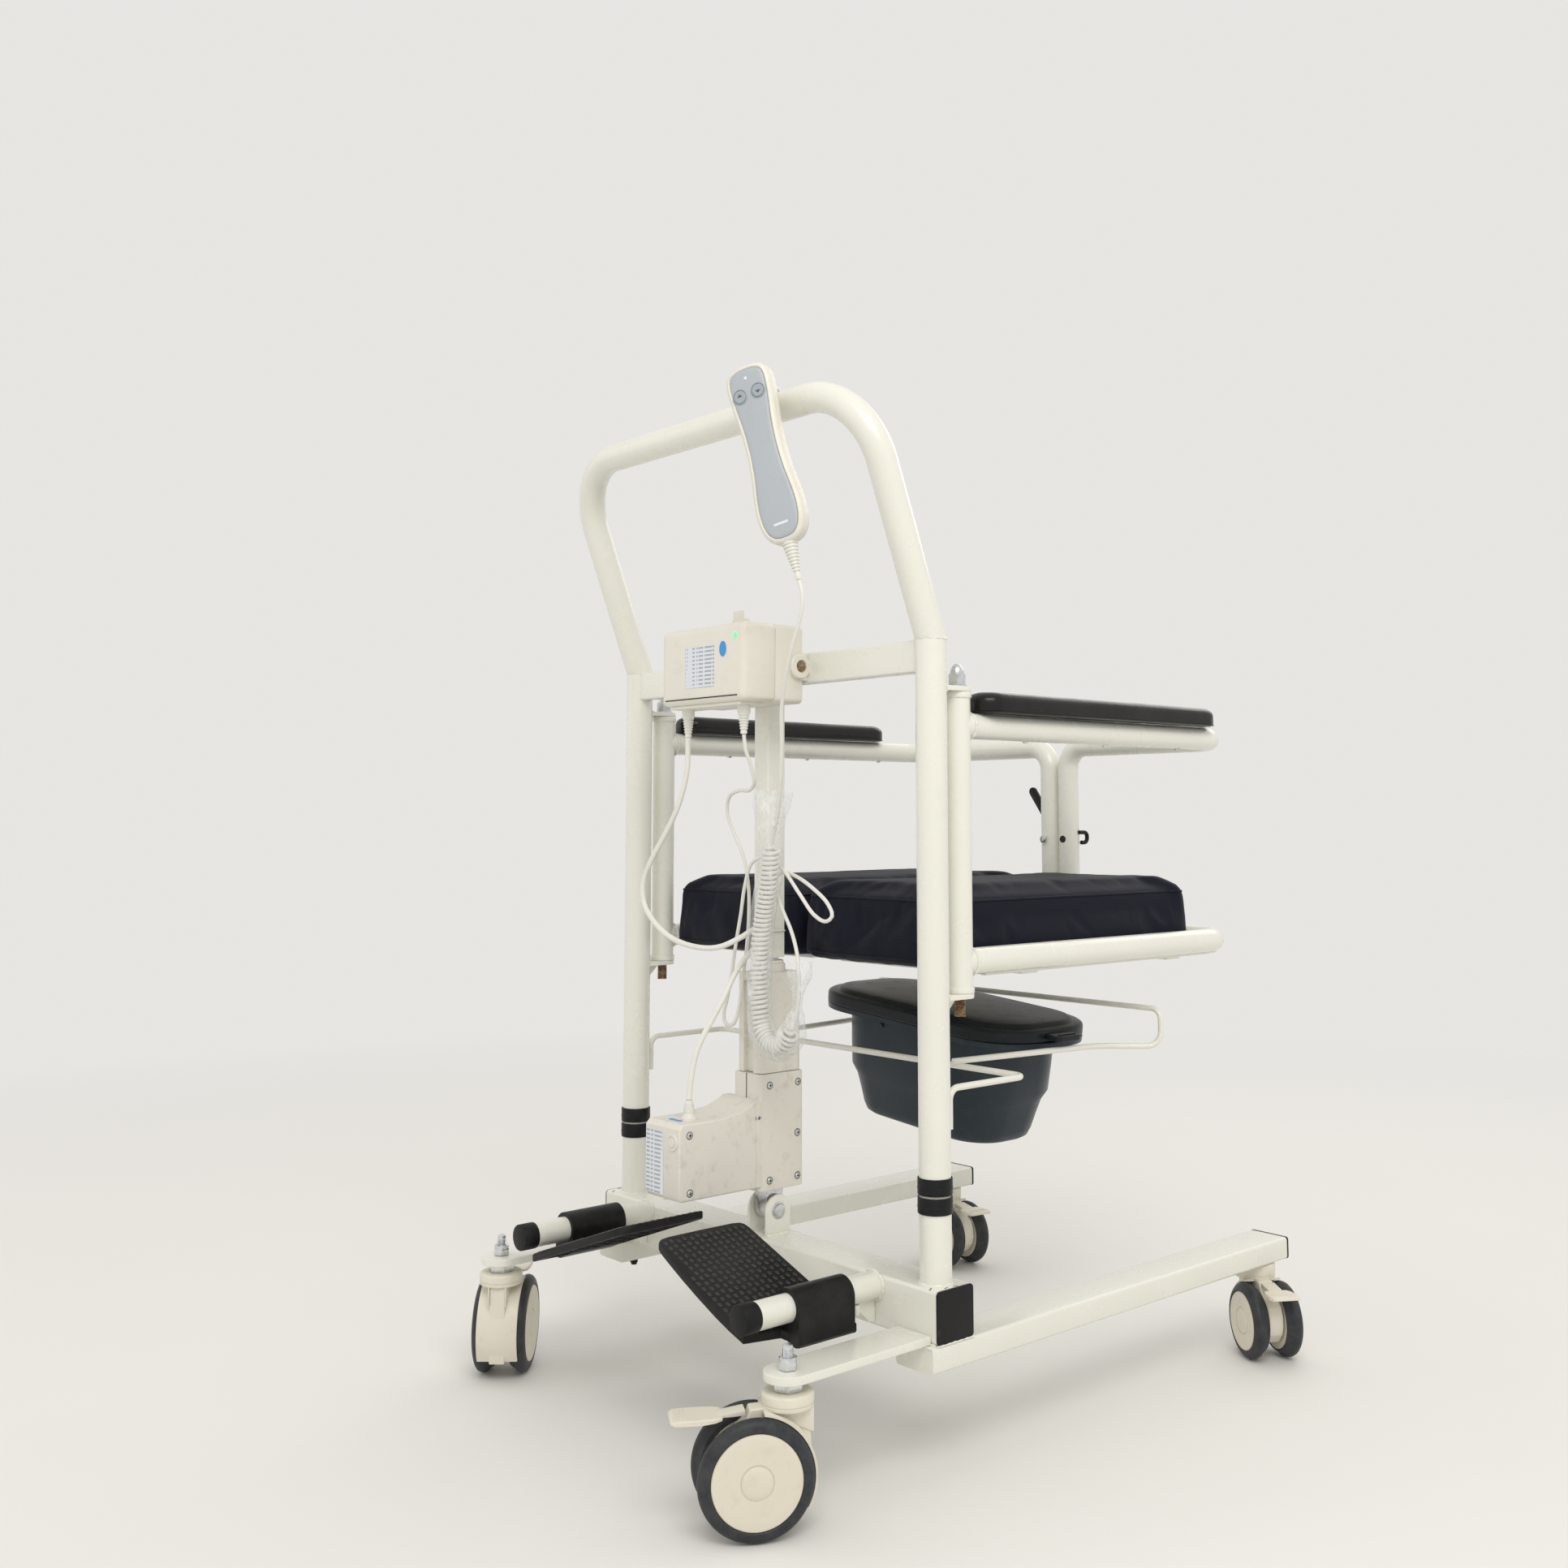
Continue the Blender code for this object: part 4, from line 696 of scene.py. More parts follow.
# ---------------------------------------------------------------- cables
MOTOR_CABLE = [
    (-0.062, -0.09, 0.8573), (-0.062, -0.092, 0.812), (-0.074, -0.096, 0.769), (-0.097, -0.1, 0.731),
    (-0.123, -0.104, 0.696), (-0.14, -0.106, 0.665), (-0.138, -0.106, 0.636), (-0.116, -0.104, 0.611),
    (-0.079, -0.1, 0.591), (-0.03, -0.092, 0.582), (0.004, -0.084, 0.585), (0.025, -0.068, 0.597),
    (0.033, -0.048, 0.608), (0.032, -0.034, 0.6), (0.02, -0.038, 0.584), (0.013, -0.054, 0.566),
    (0.012, -0.07, 0.546), (0.012, -0.084, 0.523), (0.009, -0.098, 0.499), (0.004, -0.11, 0.477),
    (0.000, -0.12, 0.453), (0.000, -0.128, 0.423), (0.000, -0.131, 0.3965),
]
HANDSET_LEAD = [
    (0.2255, -0.1413, 1.0317), (0.2283, -0.14, 1.02), (0.229, -0.1385, 1.006), (0.2215, -0.137, 0.985),
    (0.206, -0.135, 0.956), (0.186, -0.129, 0.92), (0.166, -0.118, 0.885), (0.148, -0.103, 0.837),
    (0.124, -0.086, 0.78), (0.104, -0.075, 0.745), (0.0872, -0.0684, 0.7183),
]
COIL_LINE = [
    (0.086, -0.068, 0.715), (0.077, -0.066, 0.666), (0.062, -0.064, 0.61), (0.057, -0.064, 0.558),
    (0.058, -0.064, 0.513), (0.064, -0.064, 0.482), (0.083, -0.064, 0.466), (0.106, -0.064, 0.47),
    (0.122, -0.064, 0.488),
]
HANDSET_TAIL = [
    (0.1226, -0.064, 0.4896), (0.13, -0.063, 0.512), (0.133, -0.062, 0.534), (0.13, -0.06, 0.558),
    (0.122, -0.056, 0.582), (0.104, -0.05, 0.608), (0.083, -0.046, 0.632), (0.067, -0.044, 0.654),
    (0.064, -0.043, 0.672), (0.078, -0.042, 0.681), (0.105, -0.042, 0.676), (0.14, -0.043, 0.661),
    (0.168, -0.045, 0.644), (0.178, -0.047, 0.63), (0.169, -0.049, 0.623), (0.148, -0.05, 0.63),
    (0.12, -0.05, 0.655), (0.088, -0.05, 0.684), (0.055, -0.051, 0.7), (0.028, -0.053, 0.692),
    (0.015, -0.054, 0.662), (0.008, -0.055, 0.625), (0.000, -0.056, 0.59), (-0.008, -0.057, 0.55),
    (-0.015, -0.059, 0.515), (-0.022, -0.059, 0.494), (-0.02, -0.057, 0.482), (-0.01, -0.053, 0.482),
    (-0.004, -0.049, 0.5), (0.001, -0.046, 0.54), (0.004, -0.042, 0.58), (0.006, -0.04, 0.62),
    (0.004, -0.039, 0.66), (-0.005, -0.041, 0.7), (-0.018, -0.046, 0.73), (-0.025, -0.052, 0.756),
    (-0.015, -0.057, 0.778), (0.01, -0.06, 0.786), (0.035, -0.063, 0.786), (0.05, -0.067, 0.795),
    (0.055, -0.076, 0.815), (0.057, -0.087, 0.838), (0.057, -0.09, 0.8572),
]
CABLE_R, LEAD_R, COIL_R, COIL_WIRE_R = 0.0036, 0.0024, 0.012, 0.0025


def helix(line, radius, pitch, steps=16):
    """Points wound round a line, drawn in to the line at both ends."""
    axis = smooth_route(line, 0.002)
    length = path_length(axis)
    count = round(length / pitch * steps)
    side = Vector((0.0, 1.0, 0.0))
    points = []
    for i in range(count + 1):
        share = i / count * (len(axis) - 1)
        index = min(int(share), len(axis) - 2)
        centre = axis[index].lerp(axis[index + 1], share - index)
        along = (axis[index + 1] - axis[index]).normalized()
        side = (side - along * side.dot(along)).normalized()
        across = along.cross(side)
        angle = TAU * i / steps
        easing = min(1.0, i / steps, (count - i) / steps)
        reach = radius * easing
        points.append(centre + side * reach * math.cos(angle) + across * reach * math.sin(angle))
    return points


def cables(plugs):
    """Motor cable, and the handset cable in its straight, curly and loose lengths."""
    path = smooth_route(MOTOR_CABLE, 0.006)
    cable = piece("motor_cable_fine", sweep(path, CABLE_R, 14), "cable", "lift",
                  "motor_cable", moving=False)
    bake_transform(cable)
    path_length(path)
    path = smooth_route(HANDSET_LEAD, 0.005)
    lead = piece("handset_lead_fine", sweep(path, LEAD_R, 12), "cable", "lift",
                 "handset_cable_upper", moving=False)
    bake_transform(lead)
    path_length(path)
    path = helix(COIL_LINE, COIL_R - COIL_WIRE_R, 0.0062)
    coil = piece("handset_coil_fine", sweep(path, COIL_WIRE_R, 9), "cable", "lift", "handset_cable_coil")
    path_length(path)
    path = smooth_route(HANDSET_TAIL, 0.005)
    tail = piece("handset_tail_fine", sweep(path, LEAD_R, 12), "cable", "lift", "handset_cable_lower")
    path_length(path)


def din_plug(name, x, y, node):
    """Round plug with finger grooves and a stepped rubber sleeve."""
    top = 0.8977
    profile = [(0.0085, top), (0.0085, top - 0.0125), (0.0078, top - 0.0135)]
    profile += finger_ribs(top - 0.0145, top - 0.036, 0.0074, 0.0013, 0.0017, 0.0003, 0.0036, 0.00045)
    profile += [(0.0044, top - 0.0375), (0.0042, top - 0.04)]
    return piece(name, shifted(turned(profile, 28), x, y, 0.0), "cable", "lift", node)


# ---------------------------------------------------------------- base frame
def beam():
    """Square cross beam with two ears for the cross pin."""
    half, low, high = 0.334, BEAM_LOW, BEAM_HIGH
    shell = slab(rounded((-0.03, low), (0.03, high), 0.0045), "x", -half, half)
    ears = []
    for side in (-1, 1):
        arch = arc((0.0, PIN_Z), 0.02, 0.0, math.pi, 14)
        ear = slab([(0.02, high - 0.001)] + arch + [(-0.02, high - 0.001)], "x", side * 0.0155,
                   side * 0.0195)
        ears.append(softened(ear, 0.0008, 2))
        ears.append(weld([(side * 0.0205, -0.02, high), (side * 0.0205, 0.02, high)], 0.0016))
    for side in (-1, 1):
        x = side * POST_X
        ears.append(shifted(ring_weld(0.0195, high, size=0.0018), x, 0, 0))
        ears.append(weld([(side * 0.277, -0.0305, 0.1535), (side * 0.334, -0.0305, 0.1535)], 0.0018))
    piece("cross_beam", add(shell, *ears), "white", "base", "base_cross_beam")


def clevis_pin():
    """Headed cross pin through the ears."""
    head = turned([(0.0085, 0.02), (0.0085, 0.0215), (0.0078, 0.0225), (0.003, 0.023)], 28)
    rim = turned([(0.011, 0.0197), (0.011, 0.0204), (0.0105, 0.0207), (0.004, 0.0207)], 28)
    far_head = eased(hexagon(0.013), "z", -0.0225, -0.0198, 0.0004, 1)
    shank = turned([(0.005, -0.0198), (0.005, 0.0198)], 20)
    pin = add(head, rim, far_head, shank)
    laid(pin, "Y")
    piece("clevis_pin", shifted(pin, 0, 0, PIN_Z), "zinc", "base", "actuator_pin")


def end_cap(side, label):
    """Black cap on the end of the cross beam, with painted shade in its notch and the fitter's scratches
    beside it.
    """
    plate = eased(rounded((-0.0298, 0.1532), (0.0298, 0.2128), 0.005), "x", side * 0.3343, side * 0.337,
                  0.0012, 3, 60)
    # Painted shade: a dark patch on the cap's face where its notch is.
    notch = slab(rounded((-0.0302, 0.164), (-0.0262, 0.172), 0.0018, 3), "x", side * 0.3371, side * 0.3374)
    piece("beam_cap_" + label, plate, "black", "base", "beam_end_cap_" + label)
    piece("beam_cap_notch_" + label, notch, "dark", "base")
    marks = []
    for x, y, length, turn in ((0.322, -0.026, 0.008, 0.5), (0.331, -0.01, 0.007, 0.25),
                               (0.333, 0.004, 0.005, -0.6)):
        stroke = box((-0.0005, -length / 2, 0.2131), (0.0005, length / 2, 0.2133))
        marks.append(moved(stroke, Matrix.Translation((side * x, y, 0)) @ Matrix.Rotation(turn, 4, "Z")))
    piece("fitting_marks_" + label, add(*marks), "dark", "base")


def leg(side, label):
    """Flat leg with its outrigger plate, end plug and the bolt under it."""
    x = side * LEG_X
    tube = slab(rounded((x - 0.03, 0.123), (x + 0.03, 0.1527), 0.004, 4), "y", -0.038, 0.6815)
    centre, rear = side * OUTRIGGER_X, -0.0303
    outline = arc((centre, OUTRIGGER_Y), OUTRIGGER_R, math.pi, TAU, 18)
    outline += [(centre + OUTRIGGER_R, -0.19), (centre + OUTRIGGER_R, rear),
                (centre - OUTRIGGER_R, rear), (centre - OUTRIGGER_R, -0.19)]
    plate = eased(outline, "z", 0.1532, 0.1628, 0.0016, 3, 50)
    beads = [weld([(side * 0.277, -0.0385, 0.1538), (side * 0.277, -0.032, 0.1538)], 0.0015),
             weld([(x - 0.029, -0.0385, 0.1524), (x + 0.029, -0.0385, 0.1524)], 0.0016),
             weld([(side * 0.3365, 0.0302, 0.153), (side * 0.3365, -0.03, 0.153)], 0.0014)]
    piece("leg_" + label, add(tube, plate, *beads), "white", "base", "base_leg_" + label)
    plug = eased(rounded((x - 0.0303, 0.1227), (x + 0.0303, 0.1531), 0.004, 4), "y", 0.6802, 0.684,
                 0.0006, 2, 50)
    piece("leg_plug_" + label, plug, "black", "base")
    bolt = turned([(0.0055, 0.1228), (0.0055, 0.119), (0.0042, 0.118), (0.0042, 0.116), (0.001, 0.1155)],
                  20)
    piece("leg_bolt_" + label, shifted(bolt, side * 0.286, -0.014, 0), "black", "base")


def foot_tube(side, label):
    """Tube that carries a footplate, its gusset, stop peg and cap."""
    x, z = side * FOOT_TUBE_X, FOOT_TUBE_Z
    tube = sweep([(x, -0.03, z), (x, -0.06, z), (x, -0.2127, z)], FOOT_TUBE_R, 40)
    bead = laid(ring_weld(0.0168, 0.0, size=0.002), "X", (x, -0.0312, z))
    gusset = eased([(-0.0305, 0.185), (-0.066, 0.185), (-0.04, 0.16), (-0.0305, 0.158)], "x", x - 0.002,
                   x + 0.002, 0.0006, 2)
    peg = shifted(turned([(0.005, 0.174), (0.0056, 0.176), (0.0056, 0.185)], 20),
                  x + side * 0.006, -0.066, 0)
    piece("footrest_tube_" + label, add(tube, bead, gusset, peg), "white", "base", "foot_tube_" + label)
    profile = [(0.015, -0.2129), (0.0164, -0.213), (0.0168, -0.2138), (0.0169, -0.22), (0.0168, -0.2338),
               (0.0163, -0.2347), (0.0154, -0.2351)]
    rings = []
    for radius, y in profile:
        rings.append([(radius * math.cos(a), y, radius * math.sin(a)) for a in turns(48)])
    piece("footrest_cap_" + label, shifted(loft(rings), x, 0, z), "rubber", "base",
          "foot_tube_cap_" + label)


def post(side, label):
    """Lower post with the two halves of its black collar."""
    x = side * POST_X
    profile = [(0.019, 0.2132), (0.019, 0.3105), (0.0186, 0.3107), (0.0165, 0.3107), (0.0165, 0.85),
               (0.0147, 0.85), (0.0147, 0.2132)]
    piece("post_" + label, shifted(turned(profile, 48, closed=True), x, 0, 0), "white", "base",
          "lower_post_" + label)
    for name, low, body in (("lower", 0.2912, "base"), ("upper", 0.3127, "lift")):
        high = low + 0.0193
        profile = [(0.0193, low), (0.0203, low), (0.0208, low + 0.0007), (0.0208, high - 0.0012),
                   (0.0202, high), (0.0193, high)]
        sleeve = turned(profile, 48, closed=True)
        lip = turned([(0.0207, low + 0.0065), (0.0211, low + 0.007), (0.0211, low + 0.0085),
                      (0.0207, low + 0.009)], 48, closed=True)
        piece(f"{name}_sleeve_{label}", shifted(add(sleeve, lip), x, 0, 0), "black", body,
              f"{name}_collar_{label}")


# ---------------------------------------------------------------- lifting frame
def upright(side, label):
    """Sliding tube with two hinge brackets."""
    x = side * POST_X
    tube = turned([(0.019, 0.3127), (0.019, 0.9646), (0.0185, 0.965), (0.0172, 0.965), (0.0172, 0.3127)],
                  48, closed=True)
    parts = [tube, ring_weld(0.0185, 0.965, size=0.0017)]
    for low, high in ((0.5345, 0.5405), (0.903, 0.909)):
        end = arc((0.0, HINGE_Y), 0.0172, 0.0, math.pi, 16)
        parts.append(eased([(0.0165, 0.012)] + end + [(-0.0165, 0.012)], "z", low, high, 0.0008, 2, 50))
        parts.append(ring_weld(0.0195, high, math.radians(40), math.radians(140), 0.0016, 12))
        parts.append(ring_weld(0.0195, low, math.radians(40), math.radians(140), 0.0016, 12))
    parts.append(slab([(0.0175, 0.5346), (0.036, 0.5346), (0.0175, 0.516)], "x", -0.0025, 0.0025))
    piece("upright_tube_" + label, shifted(add(*parts), x, 0, 0), "white", "lift", "upright_" + label)


def crossbar():
    """Bar between the uprights and the column that hangs from it."""
    bar = slab(rounded((-0.01, 0.925), (0.01, 0.965), 0.003), "x", -0.2885, 0.2885)
    column = slab(rounded((-0.015, -0.015), (0.015, 0.015), 0.003), "z", 0.5667, 0.926)
    parts = [bar, column]
    for side in (-1, 1):
        for y in (-0.0095, 0.0095):
            parts.append(weld([(side * 0.2882, y, 0.926), (side * 0.2882, y, 0.964)], 0.0016))
        parts.append(weld([(side * 0.2885, -0.009, 0.9652), (side * 0.2885, 0.009, 0.9652)], 0.0016))
        parts.append(weld([(side * 0.0155, -0.0135, 0.9245), (side * 0.0155, 0.0135, 0.9245)], 0.0014))
    piece("crossbar_frame", add(*parts), "white", "lift", "crossbar_and_column")


def handle():
    """Bent push handle on top of the uprights."""
    lean = math.radians(21.0)
    rise = Vector((0.0, -math.sin(lean), math.cos(lean))) * 0.316
    foot = 0.9653
    left, right = Vector((-POST_X, 0.0, foot)), Vector((POST_X, 0.0, foot))
    path = arcs([left, left + rise, right + rise, right], [0.095, 0.095], 22)
    piece("push_handle", sweep(path, FRAME_TUBE_R, 48, 0.002, (foot, foot)), "white", "lift", "handle_tube")


def hinge_bolt(side, label):
    """Long bolt through a seat half's hinge, with its domed nut."""
    x, y = side * POST_X, HINGE_Y
    threads = thread(0.514, 0.5335, 0.007, 0.0062, 0.0018)
    shank = turned([(0.0068, 0.513)] + threads + [(0.0069, 0.534), (0.0069, 0.5342)], 24)
    piece("hinge_thread_" + label, shifted(shank, x, y, 0), "rust", "lift", "hinge_bolt_" + label)
    washer = turned([(0.0125, 0.9093), (0.0125, 0.9112), (0.008, 0.9112)], 32)
    piece("hinge_nut_" + label, shifted(add(washer, acorn_nut(0.0205, 0.0265, 0.9112)), x, y, 0),
          "zinc", "lift")


def rail():
    """Thin welded rods under the seat."""
    peg_y, bow_y, level = 0.0255, 0.16, 0.43
    bow = arcs([(-POST_X, peg_y, 0.383), (-POST_X, peg_y, level), (-POST_X, bow_y, level),
                (POST_X, bow_y, level), (POST_X, peg_y, level), (POST_X, peg_y, 0.383)], [0.014] * 4, 8)
    half = [(0.189, bow_y - 0.007, level + 0.006), (0.222, 0.4, level + 0.006),
            (0.285, 0.466, level + 0.006), (0.285, 0.466, 0.486)]
    cradle = arcs([(-x, y, z) for x, y, z in half] + half[::-1], [0.06, 0.02, 0.014, 0.014, 0.02, 0.06], 8)
    beads = []
    for side in (-1, 1):
        beads.append(weld([(side * 0.185, bow_y, level + 0.004), (side * 0.194, bow_y, level + 0.004)],
                          0.003))
        beads.append(weld([(side * POST_X, 0.0215, 0.386), (side * POST_X, 0.0215, 0.416)], 0.0026))
    piece("wire_rail", add(sweep(bow, 0.004, 20), sweep(cradle, 0.004, 20), *beads), "white", "lift",
          "bucket_rail")


# ---------------------------------------------------------------- actuator
def housing_screws():
    """Pan heads on the housing's right side, with painted shade in their cross slots and in the rims that
    they sit in.
    """
    heads = []
    well_shades = []
    for y, z in ((-0.022, 0.405), (0.026, 0.405), (-0.04, 0.366), (0.025, 0.34), (0.025, 0.285),
                 (-0.022, 0.285), (-0.15, 0.358), (-0.149, 0.288)):
        x = 0.0273 if y < -0.03 else 0.0281
        heads.append(shifted(screw_head(0.0034), x, y, z))
        # Painted shade: a dark cross in each slot and a dark ring where the head sits in its well.
        cross = add(box((0.0014, -0.0022, -0.0005), (0.0019, 0.0022, 0.0005)),
                    box((0.0014, -0.0005, -0.0022), (0.0019, 0.0005, 0.0022)))
        well_shades.append(shifted(cross, x, y, z))
        rim = laid(turned([(0.004, 0.0), (0.0044, 0.0005), (0.0052, 0.0)], 24), "Y")
        well_shades.append(shifted(rim, x - 0.0002, y, z))
    piece("motor_screws", add(*heads), "zinc", "base")
    piece("motor_screw_slot_shade", add(*well_shades), "dark", "base")


def motor():
    """Gearbox standing on its eye, with the motor's case in front of it."""
    gearbox = eased(rounded((-0.028, -0.038), (0.028, 0.036), 0.006), "z", 0.272, 0.4195, 0.002, 3, 50)
    outline = [(-0.03, 0.278), (-0.162, 0.278), (-0.166, 0.284), (-0.166, 0.366), (-0.16, 0.372),
               (-0.104, 0.372), (-0.07, 0.3765), (-0.05, 0.384), (-0.044, 0.388), (-0.038, 0.388),
               (-0.03, 0.388)]
    case = eased(outline, "x", -0.0448, 0.0272, 0.003, 4, 50)
    seam = slab(rounded((-0.1664, 0.2775), (-0.036, 0.2785), 0.0004, 2), "x", -0.0062, -0.005)
    rib = eased([(-0.036, 0.279), (-0.044, 0.279), (-0.044, 0.383), (-0.036, 0.387)], "x", 0.027,
                0.0282, 0.0005, 2)
    piece("motor_case", add(gearbox, case, seam, rib), "housing", "base", "motor_housing")
    tongue = arc((0.0, PIN_Z), 0.014, math.pi, TAU, 14)
    eye = eased(tongue + [(0.014, 0.2722), (-0.014, 0.2722)], "x", -0.012, 0.012, 0.001, 2, 50)
    piece("motor_eye", eye, "steel", "base")
    # Painted shade: a thin dark sheet where the gearbox's two halves meet.
    seam_shade = slab([(-0.0386, 0.272), (0.0366, 0.272), (0.0366, 0.4195), (-0.0386, 0.4195)], "x",
                 -0.0004, 0.0004)
    piece("gearbox_seam_shade", seam_shade, "dark", "base")
    housing_screws()
    disc = turned([(0.011, 0.0), (0.011, 0.0012), (0.0102, 0.002), (0.0076, 0.002), (0.0072, 0.0012),
                   (0.0066, 0.0012), (0.0062, 0.0024), (0.002, 0.0026)], 36)
    laid(disc, "X", (0.0135, -0.166, 0.35))
    piece("motor_plug_disc", disc, "housing", "base")
    sticker = slab(rounded((-0.0425, 0.2835), (-0.0055, 0.36), 0.001, 2), "y", -0.1661, -0.1664)
    piece("motor_label", sticker, "label", "base")
    profile = [(0.0105, 0.3715), (0.0105, 0.374), (0.0088, 0.375), (0.008, 0.3775)]
    z, radius = 0.3785, 0.0076
    while z < 0.393:
        profile += [(radius, z), (radius, z + 0.0014), (radius - 0.0008, z + 0.0017),
                    (radius - 0.0008, z + 0.0024)]
        z += 0.003
        radius -= 0.00045
    profile += [(0.0044, 0.396)]
    piece("motor_gland", shifted(turned(profile, 28), 0, MOTOR_CABLE_Y, 0), "cable", "base")
    patch = slab(rounded((-0.019, -0.15), (0.006, -0.1435), 0.002, 4), "z", 0.3721, 0.3724)
    piece("gland_sticker", patch, "blue", "base")


def actuator():
    """Aluminium-cored profile in plastic with a groove down its front, and the rod."""
    groove = [(-0.01, -0.035), (-0.0095, -0.029), (0.0095, -0.029), (0.01, -0.035)]
    outline = rounded((-0.025, -0.035), (0.025, 0.035), 0.008)
    first = next(i for i, p in enumerate(outline) if p[0] > 0.0 and p[1] < -0.0349)
    outline = outline[:first] + groove + outline[first:]
    tube = slab(outline, "z", 0.4203, 0.548)
    cap = eased(rounded((-0.0252, -0.0352), (0.0252, 0.0352), 0.008), "z", 0.538, 0.5484, 0.001, 2, 50)
    collar = turned([(0.0212, 0.5484), (0.0212, 0.5575), (0.0204, 0.5586), (0.019, 0.559), (0.0188, 0.5625),
                     (0.0176, 0.5632), (0.0132, 0.5632)], 40)
    piece("actuator_profile", add(tube, cap, collar), "housing", "base", "actuator_outer_tube")
    piece("actuator_rod_fine", turned([(0.0125, 0.2878), (0.0125, 0.566), (0.0122, 0.5662)], 40), "steel",
          "lift", "actuator_rod")


# ---------------------------------------------------------------- control box
def control_box():
    """Two-part box on the crossbar with its label, light, sockets and clamp, and painted shade in its seam,
    slot and empty sockets.
    """
    low, high, split = (-0.09, 0.898), (0.086, 1.000), -0.062
    back = eased(rounded(low, high, 0.008), "y", split + 0.0003, -0.0155, 0.0014, 3, 50)
    piece("control_back", back, "cream", "lift", "control_box_back")

    def inset(amount):
        return rounded((low[0] + amount, low[1] + amount), (high[0] - amount, high[1] - amount),
                       0.008 - amount * 0.4)

    rings = [[(x, y, z) for x, z in inset(a)] for y, a in ((split, 0.0004), (split - 0.0008, 0.0),
                                                           (-0.106, 0.0), (-0.1095, 0.0008),
                                                           (-0.1125, 0.0028), (-0.1142, 0.006),
                                                           (-0.1148, 0.011))]
    piece("control_cover", loft(rings), "cream", "lift", "control_box_cover")
    # Painted shade: a dark band in the seam between cover and back, a dark strip in the slot on the cover's
    # front and dark rings in the empty sockets.
    seam = [[(x, y, z) for x, z in rounded((low[0] + 0.0006, low[1] + 0.0006),
                                           (high[0] - 0.0006, high[1] - 0.0006), 0.008)]
                                           for y in (split - 0.0004, split + 0.001)]
    slot = slab(rounded((-0.08, 0.905), (0.074, 0.9064), 0.0006, 2), "y", -0.1139, -0.115)
    sockets = []
    for x in (-0.04, -0.018, 0.004, 0.026):
        hole = turned([(0.007, 0.8975), (0.007, 0.8983), (0.0052, 0.8983), (0.0048, 0.8975)], 28)
        sockets.append(shifted(hole, x, -0.09, 0))
    piece("control_gap_shade", add(loft(seam), slot, *sockets), "dark", "lift")
    ledge = eased_box((-0.078, -0.108, 0.894), (0.072, -0.07, 0.8982), 0.001, 2)
    piece("control_ledge", ledge, "cream", "lift")
    clip = eased([(-0.003, 1.0002), (-0.003, 1.01), (0.0, 1.0125), (0.0, 1.0235), (0.0185, 1.0235),
                  (0.0185, 1.014), (0.03, 1.011), (0.03, 1.0002)], "y", -0.0635, -0.0585, 0.0009, 2)
    piece("control_clip", clip, "cream", "lift")
    clamp = laid(turned([(0.0165, 0.0), (0.0165, 0.006), (0.015, 0.0075), (0.0085, 0.0078),
                         (0.0078, 0.0055), (0.001, 0.0055)], 36), "Y", (0.0858, -0.0235, 0.946))
    strap = eased_box((0.079, -0.02, 0.928), (0.0905, -0.0102, 0.964), 0.0012, 2)
    piece("control_clamp", add(clamp, strap), "cream", "lift")
    piece("clamp_screw", shifted(screw_head(0.007, 0.003), 0.0915, -0.0235, 0.946), "rust", "lift")
    piece("control_label", slab(rounded((-0.036, 0.9195), (0.026, 0.9745), 0.001, 2), "y", -0.1149,
                                -0.1152), "label", "lift")
    oval = [(0.0445 + 0.007 * math.cos(a), 0.9665 + 0.01 * math.sin(a)) for a in turns(28)]
    piece("control_sticker", slab(oval, "y", -0.1149, -0.1153), "blue", "lift")
    light = laid(turned([(0.0036, 0.0), (0.0036, 0.0008), (0.0024, 0.0015)], 20), "X",
                 (0.07, -0.1147, 0.982))
    piece("control_light", light, "green", "lift")


# ---------------------------------------------------------------- handset
def handset_frame():
    top, bottom = Vector((0.156, -0.158, 1.308)), Vector((0.22, -0.158, 1.066))
    lean = math.atan2(top.x - bottom.x, top.z - bottom.z)
    turn = Matrix.Rotation(math.radians(24.0), 4, "Z") @ Matrix.Rotation(lean, 4, "Y")
    return Matrix.Translation((top + bottom) / 2) @ turn


HANDSET = handset_frame()
HANDSET_SHAPE = [(0.1165, 0.004), (0.1155, 0.013), (0.11, 0.0245), (0.1, 0.0292), (0.088, 0.03),
                 (0.066, 0.0286), (0.04, 0.0258), (0.01, 0.0245), (-0.022, 0.026), (-0.055, 0.0302),
                 (-0.074, 0.031), (-0.09, 0.0292), (-0.103, 0.024), (-0.1115, 0.015), (-0.114, 0.005)]


def handset_ring(inset, y):
    half = smooth_route([(x, 0.0, z) for z, x in HANDSET_SHAPE], 0.0042)
    right = [(p.x, p.z) for p in half]
    whole = right + [(-x, z) for x, z in reversed(right)]
    ring = []
    for i, (x, z) in enumerate(whole):
        before, after = Vector(whole[i - 1]), Vector(whole[(i + 1) % len(whole)])
        tangent = (after - before).normalized()
        inward = Vector((tangent.y, -tangent.x))
        if inward.dot(Vector((-x, 0.0 - z))) < 0:
            inward = -inward
        ring.append((x + inward.x * inset, y, z + inward.y * inset))
    return ring


